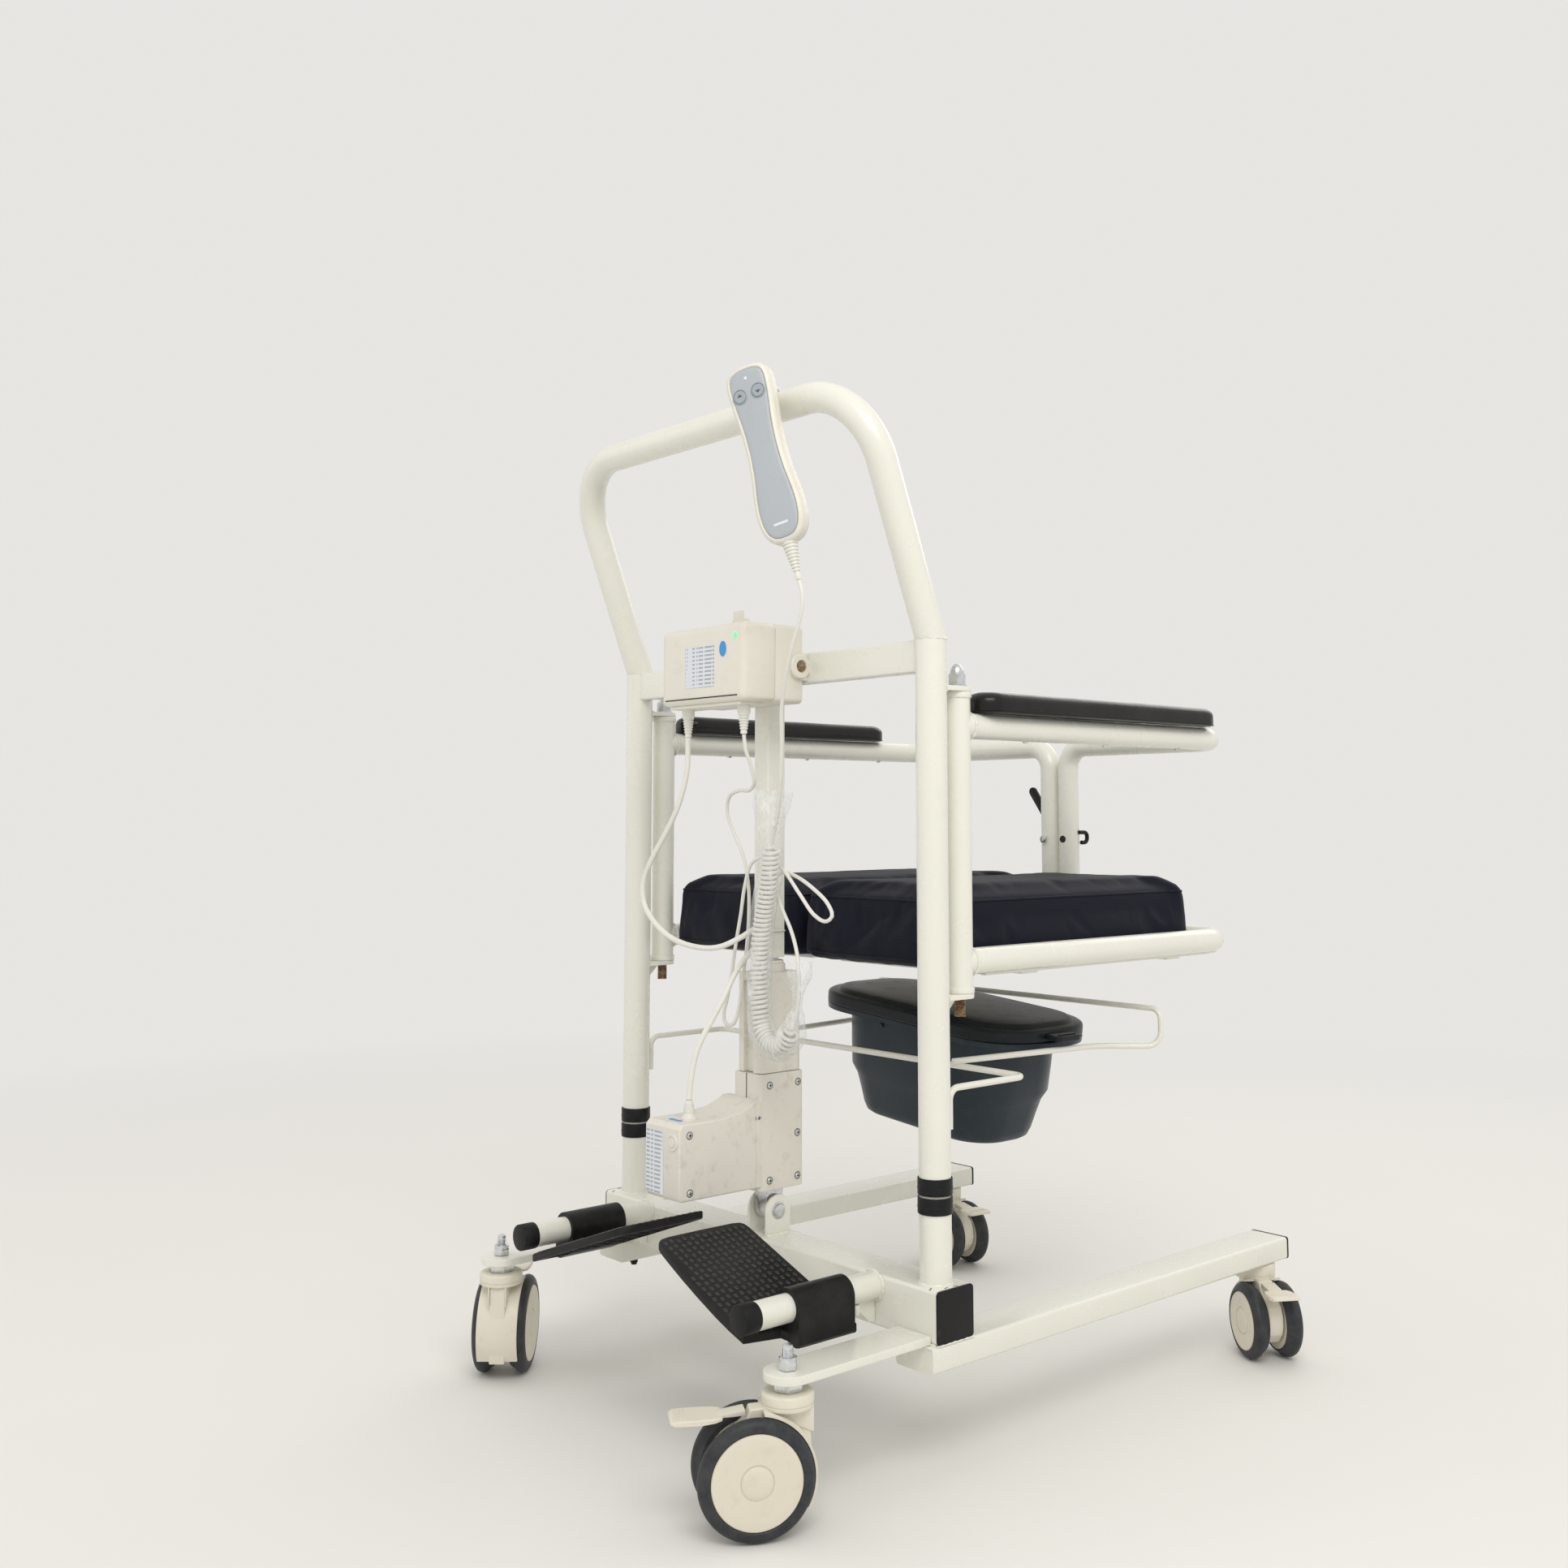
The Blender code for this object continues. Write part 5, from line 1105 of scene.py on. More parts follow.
def handset():
    """Hand control: shell, hook, face, print, strain relief and two buttons."""
    def place(name, bm, paint, body="handset", replaces=(), **more):
        return piece(name, bm, paint, body, replaces, at=HANDSET, **more)

    levels = [(0.0062, 0.012), (0.003, 0.0112), (0.001, 0.009), (0.0, 0.006), (0.0, 0.0006),
              (0.0006, 0.0002), (0.0006, -0.0004), (0.0, -0.0008), (0.0, -0.0062), (0.001, -0.009),
              (0.003, -0.011), (0.0048, -0.0116), (0.0062, -0.0108), (0.007, -0.0092)]
    shell = loft([handset_ring(inset, y) for inset, y in levels])
    centre = (0.0578, 0.0755)

    start, crest, back = math.radians(-8), math.radians(162), math.radians(176)
    seat = [(0.018, 0.09), (0.0112, 0.086), (0.0112, 0.064), (0.018, 0.064), (0.0285, 0.069)]
    outline = arc(centre, 0.0302, start, crest, 22) + seat + arc(centre, 0.027, back, start, 22)
    hook = eased(outline, "x", -0.008, 0.008, 0.0012, 3, 50)
    rib = eased([(0.011, 0.04), (0.0155, 0.046), (0.0155, 0.066), (0.011, 0.07)], "x", -0.0022,
                0.0022, 0.0006, 2)
    place("handset_shell", add(shell, hook, rib), "cream", replaces="handset_body")
    face = loft([handset_ring(inset, y) for inset, y in ((0.0067, -0.0088), (0.0067, -0.011),
                                                         (0.0075, -0.0119), (0.011, -0.0123))])
    place("handset_face", face, "face", angle=50)
    rims = [laid(turned([(0.0098, 0.0), (0.0098, 0.0008), (0.0088, 0.0014), (0.0084, 0.0004)], 36,
                        closed=True), "X", (x, -0.0121, 0.078)) for x in (-0.0125, 0.0125)]
    place("handset_button_rims", add(*rims), "button")
    place("handset_light", laid(turned([(0.0021, 0), (0.0021, 0.0006), (0.0014, 0.001)], 24), "X",
                                (0, -0.0122, 0.0985)), "mark")
    bar = slab(rounded((-0.0095, -0.0915), (0.0095, -0.0885), 0.0007, 3), "y", -0.0121, -0.01245)
    place("handset_print", bar, "mark")
    profile = [(0.0098, -0.105), (0.0098, -0.112)]
    profile += finger_ribs(-0.1135, -0.1485, 0.0096, 0.0016, 0.002, 0.0004, 0.0042, 0.00062)
    profile += [(0.0038, -0.156), (0.0028, -0.16)]
    place("handset_relief", turned(profile, 32), "cable")
    for name, x in (("up", -0.0125), ("down", 0.0125)):
        cap = turned([(0.0079, 0.0), (0.0079, 0.0029), (0.0075, 0.0033), (0.0055, 0.0032), (0.002, 0.0029)],
                     36)
        laid(cap, "X", (x, -0.0105, 0.078))
        place("push_button_" + name, cap, "button", "button_" + name, "handset_button_" + name)
        rise = 0.0034 if name == "up" else -0.0034
        arrow = slab([(x - 0.003, 0.078), (x + 0.003, 0.078), (x, 0.078 + rise)], "y", -0.0135, -0.014)
        place("push_arrow_" + name, arrow, "symbol", "button_" + name)


# ---------------------------------------------------------------- swing seat halves
def swing(side, label):
    """One seat half's bent tube, hinge sleeve, bushes, seat board and screws."""
    x, inner, front, rear = side * POST_X, side * 0.018, HINGE_Y, 0.598
    body = "swing_" + label
    corners = [(x, front, ARM_RAIL_Z), (x, rear, ARM_RAIL_Z), (inner, rear, ARM_RAIL_Z),
               (inner, rear, SEAT_RAIL_Z), (x, rear, SEAT_RAIL_Z), (x, front, SEAT_RAIL_Z)]
    path = arcs(corners,
                [0.05, 0.035, 0.035, 0.05], 14)
    tube = sweep(path, SWING_TUBE_R, 40)
    parts = [tube]
    sleeve = turned([(0.0162, 0.548), (0.0162, 0.8955), (0.0142, 0.8955), (0.0142, 0.548)], 44, closed=True)
    parts.append(shifted(sleeve, x, front, 0))
    for z in (SEAT_RAIL_Z, ARM_RAIL_Z):
        bead = laid(ring_weld(0.0168, 0.0, size=0.0018), "X", (x, front + 0.017, z))
        parts.append(bead)
    strip = eased_box((min(side * 0.292, side * 0.302), 0.095, 0.5575),
                      (max(side * 0.292, side * 0.302), 0.56, 0.561), 0.0008, 2)
    parts.append(strip)
    board_low, board_high = sorted((side * 0.03, side * 0.296))
    parts.append(eased_box((board_low, 0.1, 0.5575), (board_high, 0.586, 0.563), 0.0015, 2))
    for y in (0.18, 0.48):
        low, high = sorted((side * 0.06, side * 0.298))
        parts.append(eased_box((low, y - 0.015, 0.5545), (high, y + 0.015, 0.5575), 0.0008, 2))
    piece("swing_tube_" + label, add(*parts), "white", body, "swing_frame_" + label)
    bushes = []
    for low, high in ((0.5408, 0.548), (0.8955, 0.9027)):
        bushes.append(shifted(turned([(0.0175, low), (0.0178, low + 0.0008), (0.0178, high - 0.0008),
                                      (0.0175, high), (0.008, high), (0.008, low)], 44, closed=True), x,
                                      front, 0))
    piece("hinge_bushes_" + label, add(*bushes), "white", body)
    screws = []
    for y in (0.17, 0.33, 0.49):
        screws.append(laid(screw_head(0.0042, 0.0022), "Y", (x, y, 0.8462)))
    for sx in (0.09, 0.24):
        for y in (0.18, 0.48):
            screws.append(laid(screw_head(0.0045, 0.0022), "Y", (side * sx, y, 0.5545)))
    piece("swing_screws_" + label, add(*screws), "zinc", body)


def armrest(side, label):
    """Pad with a rolled top edge and a seam round its foot."""
    def ring(inset, z):
        rear = 0.5568 if side > 0 else 0.4878
        outline = rounded((-0.028 + inset, 0.0732 + inset), (0.028 - inset, rear - inset),
                          max(0.004, 0.026 - inset * 0.6), 9)
        dense = []
        for i, first in enumerate(outline):
            last = outline[(i + 1) % len(outline)]
            count = 1 if (i + 1) % 10 else (40 if (i // 10) % 2 else 3)
            dense += [(first[0] + (last[0] - first[0]) * k / count,
                       first[1] + (last[1] - first[1]) * k / count, z) for k in range(count)]
        return dense

    levels = [(0.003, 0.8783), (0.0008, 0.8795), (0.0, 0.8815), (0.0, 0.893), (0.0006, 0.896),
              (0.0022, 0.899), (0.0052, 0.9018), (0.0085, 0.9036), (0.0125, 0.9045), (0.018, 0.9048)]
    bm = loft([ring(inset, z) for inset, z in levels])
    for vert in bm.verts:
        swell = noise.noise(Vector((vert.co.x * 30, vert.co.y * 9, side * 5.0))) * 0.0008
        if vert.co.z > 0.884:
            vert.co.z += swell - abs(swell) * 0.3
    pad = piece("armrest_" + label, shifted(bm, side * POST_X, 0, 0), "pad", "swing_" + label,
                "armrest_pad_" + label, angle=50)
    seam = [Vector((p[0], p[1], 0.88)) for p in ring(-0.0001, 0.88)]
    piece("armrest_seam_" + label, shifted(sweep(seam + [seam[0]], 0.0006, 8), side * POST_X, 0, 0),
          "black", "swing_" + label)


def cushion_block(inset):
    """Rounded starting block of a half seat, about its own middle."""
    half_x, half_y = 0.1395 - inset, CUSHION_HALF_Y - inset
    rings = []
    for z, pull in ((0.564, 0.012), (0.5665, 0.004), (0.572, 0.0), (0.64, 0.0), (0.65, 0.002),
                    (0.655, 0.007), (0.6575, 0.016)):
        radius = 0.02
        rings.append([(x, y, z) for x, y in rounded((-half_x + pull, -half_y + pull),
                                                    (half_x - pull, half_y - pull), radius, 6)])
    return loft(rings)


def pushed_out(item, start):
    """Where the cover's points end when pressure fills it over its fixed base."""
    held = item.vertex_groups.new(name="held")
    held.add([i for i, p in enumerate(start) if p.z < 0.567], 1.0, "REPLACE")
    cloth = item.modifiers.new("cover", "CLOTH")
    cloth.settings.quality = 5
    cloth.settings.tension_stiffness = cloth.settings.compression_stiffness = 12.0
    cloth.settings.shear_stiffness = 8.0
    cloth.settings.bending_stiffness = 1.5
    cloth.settings.use_pressure = True
    cloth.settings.uniform_pressure_force = 4.0
    cloth.settings.vertex_group_mass = "held"
    cloth.settings.effector_weights.gravity = 0.0
    cloth.point_cache.frame_start, cloth.point_cache.frame_end = 1, 20
    scene = bpy.context.scene
    for number in range(1, 21):
        scene.frame_set(number)
    soft = bpy.data.meshes.new_from_object(item.evaluated_get(bpy.context.evaluated_depsgraph_get()))
    ends = [v.co.copy() for v in soft.vertices]
    scene.frame_set(1)
    item.modifiers.clear()
    bpy.data.meshes.remove(soft)
    return ends


def creased(spot):
    """A point of the cover moved by its creases, tucks and fine puckers, within the seat's room."""
    side_share = 1.0 - min(1.0, abs(spot.x) / CUSHION_HALF_X) ** 6
    creases = noise.noise(Vector((spot.x * 46.0, spot.y * 12.0, spot.z * 20.0)))
    fine = noise.noise(Vector((spot.x * 120.0, spot.y * 40.0, spot.z * 90.0 + 7.0)))
    near_front = max(0.0, 1.0 - (spot.y + CUSHION_HALF_Y) / 0.06)
    sides = max(abs(spot.x) / CUSHION_HALF_X, abs(spot.y) / CUSHION_HALF_Y)
    upright_share = 1.0 if sides > 0.94 and spot.z < 0.65 else 0.0
    tucks = sum(math.exp(-((spot.x - x0 - (0.61 - spot.z) * lean) / 0.0045) ** 2) for x0, lean in
                ((-0.108, 0.1), (-0.092, -0.12), (-0.02, 0.16), (0.046, -0.1), (0.109, 0.14)))
    fall = math.exp(-((spot.z - 0.628) / 0.026) ** 2) if spot.y < -0.22 else 0.0
    depth = creases * 0.0008 + fine * 0.0003 - tucks * fall * 0.003
    depth += near_front * creases * 0.0008
    spot.z += depth * (0.3 if upright_share else 1.0) * (0.4 + 0.6 * side_share)
    outward = Vector((spot.x / CUSHION_HALF_X, spot.y / 0.2588, 0.0)) if upright_share else Vector()
    spot += outward * depth
    spot.z = max(0.5637, min(0.6705, spot.z))
    spot.x = max(-0.1405, min(0.1375, spot.x))
    spot.y = max(-0.262, min(0.262, spot.y))
    return spot


def swollen_cushion():
    """Cushion mesh after the foam has pushed its cover out; sides pull in between the corners."""
    mesh = bpy.data.meshes.new("cushion_start")
    bm = cushion_block(0.004)
    bmesh.ops.recalc_face_normals(bm, faces=bm.faces)
    bm.to_mesh(mesh)
    bm.free()
    item = bpy.data.objects.new("cushion_start", mesh)
    bpy.context.scene.collection.objects.link(item)
    remesh = item.modifiers.new("even", "REMESH")
    remesh.mode = "VOXEL"
    remesh.voxel_size = 0.006
    depsgraph = bpy.context.evaluated_depsgraph_get()
    even = bpy.data.meshes.new_from_object(item.evaluated_get(depsgraph))
    item.modifiers.clear()
    item.data = even
    start = [v.co.copy() for v in even.vertices]
    ends = pushed_out(item, start)
    cap = 0.01
    for vertex, first, last in zip(even.vertices, start, ends):
        shift = last - first
        if shift.length > cap:
            shift *= cap / shift.length
        vertex.co = creased(first + shift)
    smooth = item.modifiers.new("finer", "SUBSURF")
    smooth.levels = smooth.render_levels = 1
    final = bpy.data.meshes.new_from_object(item.evaluated_get(bpy.context.evaluated_depsgraph_get()))
    bpy.data.objects.remove(item)
    return final


def seam_line(tree, z, inset):
    """The outline of the cushion's cover at a height, found from outside and moved out by the inset."""
    points = rounded((-0.125, -0.244), (0.125, 0.244), 0.02, 8)
    dense = []
    for i, first in enumerate(points):
        last = points[(i + 1) % len(points)]
        count = max(1, round((Vector(last) - Vector(first)).length / 0.012))
        dense += [(first[0] + (last[0] - first[0]) * k / count, first[1] + (last[1] - first[1])
                   * k / count) for k in range(count)]
    line = []
    for x, y in dense:
        outward = Vector((max(-1.0, min(1.0, (abs(x) - 0.105) / 0.02)) if abs(x) > 0.105 else 0.0,
                          (abs(y) - 0.224) / 0.02 if abs(y) > 0.224 else 0.0, 0.0))
        outward.x *= 1 if x > 0 else -1
        outward.y *= 1 if y > 0 else -1
        outward.normalize()
        hit = tree.ray_cast(Vector((x, y, z)) + outward * 0.06, -outward)[0]
        if hit:
            line.append(hit + outward * inset)
    return line


def cushions():
    """Both half cushions and the piping round them."""
    mesh = swollen_cushion()
    bm = bmesh.new()
    bm.from_mesh(mesh)
    tree = BVHTree.FromBMesh(bm)
    bm.free()
    lines = [(seam_line(tree, 0.6455, -0.0004), 0.0019), (seam_line(tree, 0.5745, -0.0004), 0.0016)]
    for side, label in SIDES:
        place = Matrix.Translation((side * CUSHION_X, CUSHION_Y, 0.0))
        mirror = place @ Matrix.Diagonal((float(side), 1.0, 1.0, 1.0))
        bm = bmesh.new()
        bm.from_mesh(mesh)
        moved(bm, mirror)
        cushion = piece("half_seat_" + label, bm, "cloth", "swing_" + label,
                        "seat_cushion_" + label, angle=180)
        cords = [moved(sweep(line + line[:1], radius, 10), mirror) for line, radius in lines]
        piece("half_seat_piping_" + label, add(*cords), "thread", "swing_" + label, angle=180)


def latch():
    """Lever on the left rear post, its bolt, and the hook on the right one."""
    pivot = Vector((-0.018, 0.6175, 0.717))
    foot, tip = Vector((0.0, 0.0)), Vector((-0.054, 0.076))
    along = (tip - foot).normalized()
    across = Vector((-along.y, along.x))
    outline = []
    for centre, first, radius in ((foot, math.pi, 0.007), (tip, 0.0, 0.007)):
        for i in range(13):
            a = first + math.pi * i / 12
            outline.append(centre + across * radius * math.cos(a) + along * radius * math.sin(a))
    arm = eased([tuple(p) for p in outline], "y", -0.0025, 0.0025, 0.0008, 2, 50)
    grip = []
    for share, radius in ((0.55, 0.0044), (0.62, 0.0052), (0.7, 0.0048), (0.78, 0.0055), (0.86, 0.005),
                          (0.95, 0.0056), (1.0, 0.005)):
        grip.append((foot.lerp(tip, share), radius))
    handle = sweep([(p.x, 0.0012, p.y) for p, _ in grip], [r for _, r in grip], 20)
    lever = shifted(add(arm, handle), *pivot)
    piece("latch_lever_fine", lever, "black", "latch", "latch_lever")
    bolt = turned([(0.006, 0.0), (0.006, 0.003), (0.004, 0.0036), (0.004, 0.0)], 28, closed=True)
    nut = eased(hexagon(0.01, 0.2), "z", 0.0, 0.004, 0.0005, 2)
    end = turned([(0.003, 0.0), (0.003, 0.0062), (0.0024, 0.0068)], 18)
    moved(nut, Matrix.Translation((pivot.x, pivot.y + 0.003, pivot.z))
          @ Matrix.Rotation(-math.pi / 2, 4, "X"))
    moved(end, Matrix.Translation((pivot.x, pivot.y + 0.003, pivot.z))
          @ Matrix.Rotation(-math.pi / 2, 4, "X"))
    laid(bolt, "X", (-0.018, 0.579, pivot.z))
    piece("latch_bolt", add(bolt, nut, end), "zinc", "swing_left")
    hook = moved(sweep(arcs([(0.0, 0.0, 0.0), (0.0, 0.02, 0.0), (0.0, 0.02, -0.016), (0.0, 0.006, -0.016)],
                            [0.007, 0.007], 6), 0.0032, 16), Matrix.Translation((0.0355, 0.6005, 0.7275)))
    piece("latch_hook", hook, "black", "swing_right")
    # Painted shade: a dark ring in the hole that the latch bolt goes into.
    ring = laid(turned([(0.0056, 0.0), (0.0054, 0.0012)], 26), "X", (0.018, 0.5826, pivot.z))
    piece("latch_hole_shade_ring", ring, "dark", "swing_right")


# ---------------------------------------------------------------- commode bucket
def pan_frame():
    return Matrix.Translation((0.0, 0.345, 0.462)) @ Matrix.Rotation(math.radians(5.0), 4, "Y")


def pan_ring(half_x, half_y, corner, level):
    return [(x, y, level) for x, y in rounded((-half_x, -half_y), (half_x, half_y), corner, 12)]


def bucket():
    """Commode bucket with a flat rim, and its lid with a pull tab."""
    rings = [(0.104, 0.048, 0.04, -0.1562), (0.114, 0.056, 0.046, -0.1556),
             (0.1225, 0.0635, 0.051, -0.1536), (0.1275, 0.0685, 0.053, -0.15),
             (0.132, 0.0725, 0.056, -0.14), (0.1375, 0.0772, 0.06, -0.12), (0.144, 0.083, 0.065, -0.099),
             (0.152, 0.09, 0.07, -0.085), (0.1555, 0.0922, 0.073, -0.05), (0.158, 0.094, 0.075, -0.0064),
             (0.16, 0.0955, 0.076, -0.0054), (0.1985, 0.1035, 0.079, -0.0054),
             (0.1985, 0.1035, 0.079, -0.008), (0.201, 0.1058, 0.08, -0.008), (0.2018, 0.106, 0.08, -0.001),
             (0.201, 0.1052, 0.08, 0.0), (0.157, 0.093, 0.074, 0.0), (0.155, 0.091, 0.073, -0.002),
             (0.1525, 0.0895, 0.071, -0.05), (0.149, 0.0872, 0.068, -0.0855), (0.141, 0.0802, 0.063, -0.1),
             (0.1345, 0.0745, 0.058, -0.1215), (0.129, 0.07, 0.054, -0.14), (0.118, 0.06, 0.048, -0.1515),
             (0.104, 0.048, 0.04, -0.153)]
    grips = []
    for side in (-1, 1):
        grips.append(eased([(side * 0.1605, -0.02), (side * 0.19, -0.01), (side * 0.19, -0.0056),
                            (side * 0.156, -0.0056)], "y", -0.001, 0.001, 0.0004, 1))
    for a in (0.35, 0.65):
        for sign in (-1, 1):
            y0 = sign * (0.094 * 0.98)
            x0 = (a - 0.5) * 0.3
            grips.append(eased([(y0, -0.02), (y0 + sign * 0.0095, -0.01), (y0 + sign * 0.0095, -0.0056),
                                (y0 - sign * 0.002, -0.0056)], "x", x0 - 0.001, x0 + 0.001, 0.0004, 1))
    piece("bucket_shell", add(loft([pan_ring(*r) for r in rings]), *grips), "slate", "pan", "bucket",
          at=pan_frame())
    rings = [(0.196, 0.104, 0.078, 0.0003), (0.199, 0.107, 0.08, 0.0006), (0.2, 0.108, 0.08, 0.002),
             (0.2, 0.108, 0.08, 0.013), (0.1992, 0.1072, 0.08, 0.0155), (0.197, 0.105, 0.079, 0.0172),
             (0.188, 0.096, 0.073, 0.0178), (0.186, 0.094, 0.071, 0.02), (0.184, 0.092, 0.07, 0.0222),
             (0.178, 0.087, 0.066, 0.0235), (0.15, 0.07, 0.052, 0.0243), (0.12, 0.05, 0.04, 0.0248)]
    tab = eased(rounded((0.19, -0.0235), (0.226, 0.0235), 0.007, 6), "z", 0.0052, 0.0128, 0.0018, 3, 50)
    groove = eased_box((0.217, -0.018, 0.0128), (0.2195, 0.018, 0.0142), 0.0006, 2)
    piece("bucket_cover", add(loft([pan_ring(*r) for r in rings]), tab, groove), "lid", "pan_lid",
          "bucket_lid", at=pan_frame())


# ---------------------------------------------------------------- footplates
TREAD_RISE = math.tan(math.radians(19.8))
TREAD_OUTER, TREAD_TOP, TREAD_THICK = 0.017, -0.0305, 0.011


def surface(x):
    """Height of the tread's top at x, both from the foot tube's axis."""
    return TREAD_TOP - (x - TREAD_OUTER) * TREAD_RISE


def tread_ribs(side):
    """Stiffening ribs under the tread, along and across it."""
    ribs = []
    for i in range(7):
        y = -0.09 - i * 0.019
        x0, x1 = -0.186, (-0.02 if y > -0.166 else -0.014)
        ribs.append(slab([(side * x0, surface(x0) - 0.003), (side * x1, surface(x1) - 0.003),
                          (side * x1, surface(x1) - TREAD_THICK + 0.0012),
                          (side * x0, surface(x0) - TREAD_THICK + 0.0012)], "y", y - 0.0009, y + 0.0009))
    for i in range(8):
        x = -0.03 - i * 0.0205
        far = -0.215 + max(0.0, -0.06 - x) * 0.075
        ribs.append(slab([(-0.079, surface(x) - 0.003), (far, surface(x) - 0.003),
                          (far, surface(x) - TREAD_THICK + 0.0012),
                          (-0.079, surface(x) - TREAD_THICK + 0.0012)], "x", side * (x - 0.0009),
                          side * (x + 0.0009)))
    return ribs


def tread_pips(side):
    """Rows of small oval pips on the tread, clear of its rim and of the sleeve."""
    along = Vector((1.0, 0.0, -TREAD_RISE)).normalized()
    up, across = Vector((TREAD_RISE, 0.0, 1.0)).normalized(), Vector((0.0, 1.0, 0.0))
    pips = bmesh.new()
    cols, rows = 19, 14
    for i in range(cols):
        for j in range(rows):
            x = -0.1845 + i * 0.0101 + (0.0 if j % 2 else 0.0022)
            y = -0.0835 - j * 0.0098
            if x > -0.01 or y < -0.216 + max(0.0, -x - 0.06) * 0.085:
                continue
            if x < -0.186 and not -0.2 < y < -0.084:
                continue
            if x > -0.026 and y > -0.169:
                continue
            base = Vector((x, y, surface(x) - 0.0003))
            foot = [base + along * 0.004 * math.cos(a) + across * 0.0028 * math.sin(a) for a in turns(10)]
            top = base + up * 0.0011
            crown = [top + along * 0.0031 * math.cos(a) + across * 0.002 * math.sin(a) for a in turns(10)]
            rings = [[(side * p.x, p.y, p.z) for p in loop] for loop in (foot, crown)]
            loft(rings, bm=pips)
    return pips


def footplate(side, label):
    """Tread on a sleeve that turns round the foot tube."""
    outer, thick = TREAD_OUTER, TREAD_THICK
    outline = [(outer, -0.158), (-0.0035, -0.171), (-0.006, -0.19), (-0.01, -0.22), (-0.035, -0.2212),
               (-0.06, -0.221), (-0.095, -0.219), (-0.13, -0.216), (-0.16, -0.2125), (-0.182, -0.2095),
               (-0.189, -0.207), (-0.193, -0.202), (-0.1948, -0.19), (-0.1952, -0.14), (-0.1948, -0.09),
               (-0.193, -0.0795), (-0.189, -0.0755), (-0.182, -0.074), (outer, -0.074)]

    def ring(inset, drop):
        centre = (-0.088, -0.147)
        loop = []
        for x, y in outline:
            dx, dy = x - centre[0], y - centre[1]
            px = x - math.copysign(min(abs(dx), inset), dx) if not (x >= outer - 1e-6) else x
            py = y - math.copysign(min(abs(dy), inset), dy)
            loop.append((side * px, py, surface(px) - drop))
        return loop

    skin = loft([ring(i, d) for i, d in ((0.002, 0.0), (0.0006, 0.0007), (0.0, 0.0022),
                                         (0.0, thick - 0.0018), (0.0014, thick - 0.0003),
                                         (0.006, thick - 0.0003), (0.0064, 0.0034), (0.01, 0.0032))])
    low = surface(-0.012) - thick + 0.0005
    skirt_outline = arc((0.0, 0.0), 0.0215, 0.0, math.pi, 20) + [(-0.0215, -0.019), (-0.012, low),
                                                                 (0.013, -0.041), (0.019, -0.0402),
                                                                 (0.0215, -0.037)]
    faces = []
    for y0, y1 in ((-0.165, -0.1632), (-0.0821, -0.0803)):
        faces.append(plate_with_hole(skirt_outline, 0.0163, y0, y1, side))
    wall = shell_strip(skirt_outline, 0.0018, -0.1634, -0.0819, side)
    place = Matrix.Translation((side * FOOT_TUBE_X, 0.0, FOOT_TUBE_Z))
    body = "tread_" + label
    piece("footplate_shell_" + label, add(skin, wall, *faces, *tread_ribs(side)), "tread", body,
          "footplate_" + label, at=place)
    piece("footplate_pips_" + label, tread_pips(side), "pips", body, at=place)


def plate_with_hole(outline, radius, y0, y1, side):
    """A flat plate in x and z with a round hole, made as rings from the hole out to the outline."""
    count = 48
    hole = [(radius * math.cos(a), radius * math.sin(a)) for a in turns(count)]
    rim = []
    for a in turns(count):
        direction = Vector((math.cos(a), math.sin(a)))
        best = radius + 0.001
        for p, q in zip(outline, outline[1:] + outline[:1]):
            p, q = Vector(p), Vector(q)
            edge = q - p
            cross = direction.x * edge.y - direction.y * edge.x
            if abs(cross) < 1e-12:
                continue
            reach = (p.x * edge.y - p.y * edge.x) / cross
            share = (p.x * direction.y - p.y * direction.x) / cross
            if reach > 0 and -1e-6 <= share <= 1 + 1e-6:
                best = max(best, reach)
        rim.append(tuple(direction * best))
    rings = [[(side * x, y, z) for x, z in loop] for loop, y in ((hole, y0), (rim, y0),
                                                                 (rim, y1), (hole, y1))]
    return loft(rings, closed=True)


def shell_strip(outline, wall, y0, y1, side):
    """A wall that follows an outline, hollow inside."""
    centre = Vector((0.0, -0.006))
    inner = []
    for p in outline:
        offset = Vector(p) - centre
        inner.append(tuple(centre + offset * (1 - wall / offset.length)))
    rings = [[(side * x, y, z) for x, z in loop] for loop, y in ((inner, y0), (list(outline), y0),
                                                                 (list(outline), y1), (inner, y1))]
    return loft(rings, closed=True)


# ---------------------------------------------------------------- casters
FRONT = dict(wheel_r=0.0625, trail=0.038, seat=0.1522, reach=0.127, hub_r=0.049)
REAR = dict(wheel_r=0.05, trail=0.032, seat=0.1227, reach=0.104, hub_r=0.0388)
CASTERS = {"front_left": (-OUTRIGGER_X, OUTRIGGER_Y, 138.0),
           "front_right": (OUTRIGGER_X, OUTRIGGER_Y, -120.0), "rear_left": (-LEG_X, REAR_STEM_Y, -8.9),
           "rear_right": (LEG_X, REAR_STEM_Y, -31.9)}


HEAD_GAP = 0.0008                                # head's underside over the tyres
PEDAL_HINGE_X, PEDAL_HINGE_RISE = 0.012, 0.0025  # pedal's hinge from the axle and from the tyres' top


